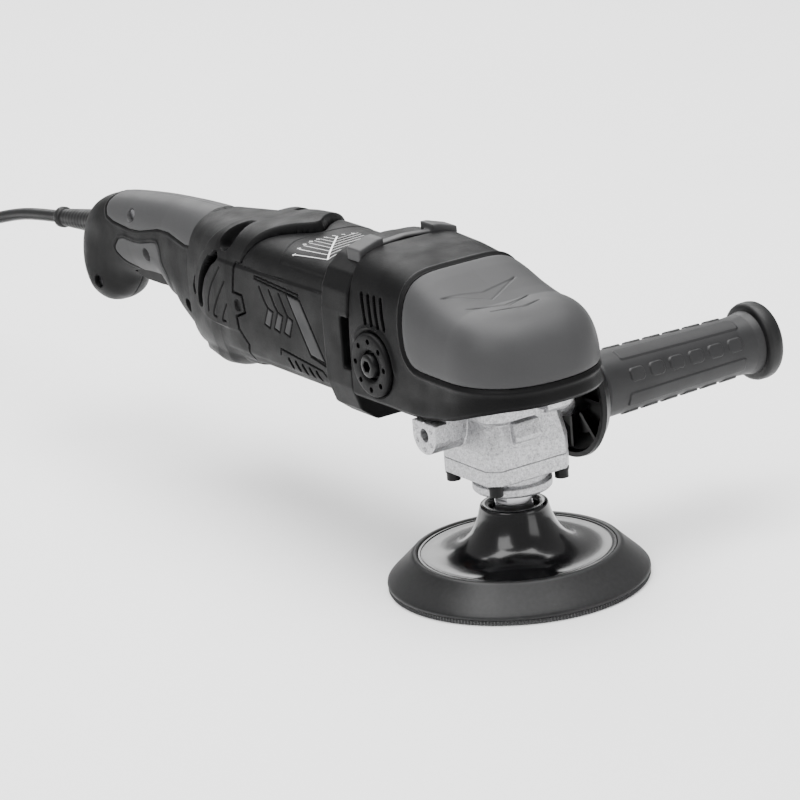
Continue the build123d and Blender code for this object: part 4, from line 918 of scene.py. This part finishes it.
# ------------------------------------------------------------------ cord boot
tilt = math.radians(7)
boot_profile = [(4.05, 0), (8.6, 0), (8.6, 4), (7.5, 4.4), (7.5, 11)]
for i in range(9):
    z0 = 13.0 + 4.3 * i
    r0 = 7.7 - 0.05 * (z0 - 13)
    boot_profile += [(r0 - 0.1, z0), (r0, z0 + 0.5), (r0 - 0.12, z0 + 3.4)]
boot_profile += [(5.4, 53.0), (5.5, 54.6), (6.5, 55.2), (6.8, 56.0), (6.8, 59.0), (6.4, 59.9), (4.05, 60)]
boot = lathe("boot", boot_profile, RUBBER, segments=96, sharp=45)
boot.data.transform(Matrix.Translation((0, (447 - 12 * math.cos(tilt)) * MM,
                                        (127.6 + 12 * math.sin(tilt)) * MM))
                    @ Matrix.Rotation(-(math.pi / 2 + tilt), 4, "X"))
place(boot, "housing", "black_rubber", "cord_boot")

# ------------------------------------------------------------------ side handle
HY, HZ = 13.0, 95.0
CORE_R = 13.0
PAD_PITCH = 14.4
FIRST_PAD_X = 88.5
SECTOR = math.pi / 4
SECTOR_TURN = 1.18
grip_x = np.linspace(66.0, 181.0, 430)
turns = np.linspace(0, 2 * math.pi, 400, endpoint=False)
GX, GT = np.meshgrid(grip_x, turns, indexing="ij")
radius = np.interp(GX, [66, 66.6, 68.5, 72, 90, 130, 166, 176, 181], [17.4, 18.6, 19.4, 19.3, 18.9, 18.0,
                                                                  17.3, 17.9, 19.0])
around = radius * ((GT - SECTOR_TURN + SECTOR / 2) % SECTOR - SECTOR / 2)
sector = np.floor((GT - SECTOR_TURN + SECTOR / 2) / SECTOR).astype(int) % 8
pad_rows = (sector % 2 == 0)
along = (GX - FIRST_PAD_X + PAD_PITCH / 2) % PAD_PITCH - PAD_PITCH / 2
in_run = (GX > 81.3) & (GX < 167.7)
pad = np.hypot(np.maximum(np.abs(along) - 2.6, 0), np.maximum(np.abs(around) - 1.4, 0))
lift = np.where(pad_rows & in_run, 0.95 * (1 - smooth(pad, 2.0, 2.9)), 0.0)
panel = np.hypot(np.maximum(np.abs(GX - 124.5) - 41.0, 0), np.maximum(np.abs(around) - 2.8, 0))
lift = np.where(~pad_rows, np.maximum(lift, 0.75 * (1 - smooth(panel, 1.3, 2.3))), lift)
reach = radius + lift
outer = np.stack([GX, HY + reach * np.cos(GT), HZ + reach * np.sin(GT)], -1).transpose(swap)
inner = np.stack([GX, HY + CORE_R * np.cos(GT), HZ + CORE_R * np.sin(GT)], -1).transpose(swap)
piece = shell("side_grip", outer, inner, np.ones(outer.shape[:2], bool), DARK_GRIP, wrap=True)
place(piece, "housing", "dark_grip", "side_handle_grip")
cap_profile = [(9.0, 181.1), (20.6, 181.1), (21.8, 181.6), (22.8, 182.6), (23.25, 184.0), (23.3, 187.6),
               (22.9, 189.6), (22.0, 191.0), (20.4, 192.2), (18.6, 192.8), (17.6, 192.4), (17.0, 191.2),
               (15.6, 190.8), (8.6, 191.6), (7.4, 192.2), (6.0, 192.0), (5.0, 190.4), (5.0, 189.0),
               (9.0, 189.0)]
cap = lathe("side_cap", cap_profile, RUBBER, origin=(0, HY, HZ), axis="x", sharp=40)
place(cap, "housing", "black_rubber", "side_handle_cap")
NODES["side_handle_guard"].data.materials[0] = BLACK_SMOOTH

# ------------------------------------------------------------------ trigger
paddle = remeshed("trigger", "trigger_paddle", BLACK_SMOOTH, voxel=0.4, passes=8)
place(paddle, "trigger_lever", "black_plastic", "trigger")

# ------------------------------------------------------------------ floor and light
FLOOR_HALF = 14.0
mesh = bpy.data.meshes.new("floor")
mesh.from_pydata([(-FLOOR_HALF, -FLOOR_HALF, -0.0002), (FLOOR_HALF, -FLOOR_HALF, -0.0002),
                  (FLOOR_HALF, FLOOR_HALF, -0.0002), (-FLOOR_HALF, FLOOR_HALF, -0.0002)], [], [(0, 1, 2, 3)])
floor = bpy.data.objects.new("floor", mesh)
bpy.context.scene.collection.objects.link(floor)
floor.data.materials.append(finish("floor_paper", (0.93, 0.93, 0.93), 0.7, vary=0.01, grain=200,
                                   bump=0.02, blotch=4))

world = bpy.data.worlds.new("studio")
bpy.context.scene.world = world
world.use_nodes = True
world.node_tree.nodes["Background"].inputs["Color"].default_value = (1.0, 1.0, 1.0, 1.0)
world.node_tree.nodes["Background"].inputs["Strength"].default_value = 0.6


def lamp(name, place_at, aim, size, power):
    """Soft square lamp."""
    data = bpy.data.lights.new(name, "AREA")
    data.size = size
    data.energy = power
    obj = bpy.data.objects.new(name, data)
    bpy.context.scene.collection.objects.link(obj)
    obj.location = place_at
    obj.rotation_euler = (Vector(aim) - Vector(place_at)).to_track_quat("-Z", "Y").to_euler()


lamp("overhead", (0.1, 0.3, 2.3), (0, 0.15, 0.1), 2.4, 150)
lamp("key", (-1.5, -0.5, 1.6), (0, 0.1, 0.1), 1.1, 22)
lamp("rear", (0.7, 1.9, 1.3), (0, 0.2, 0.12), 1.4, 26)
lamp("front", (0.7, -2.0, 0.7), (0, 0, 0.08), 1.0, 9)
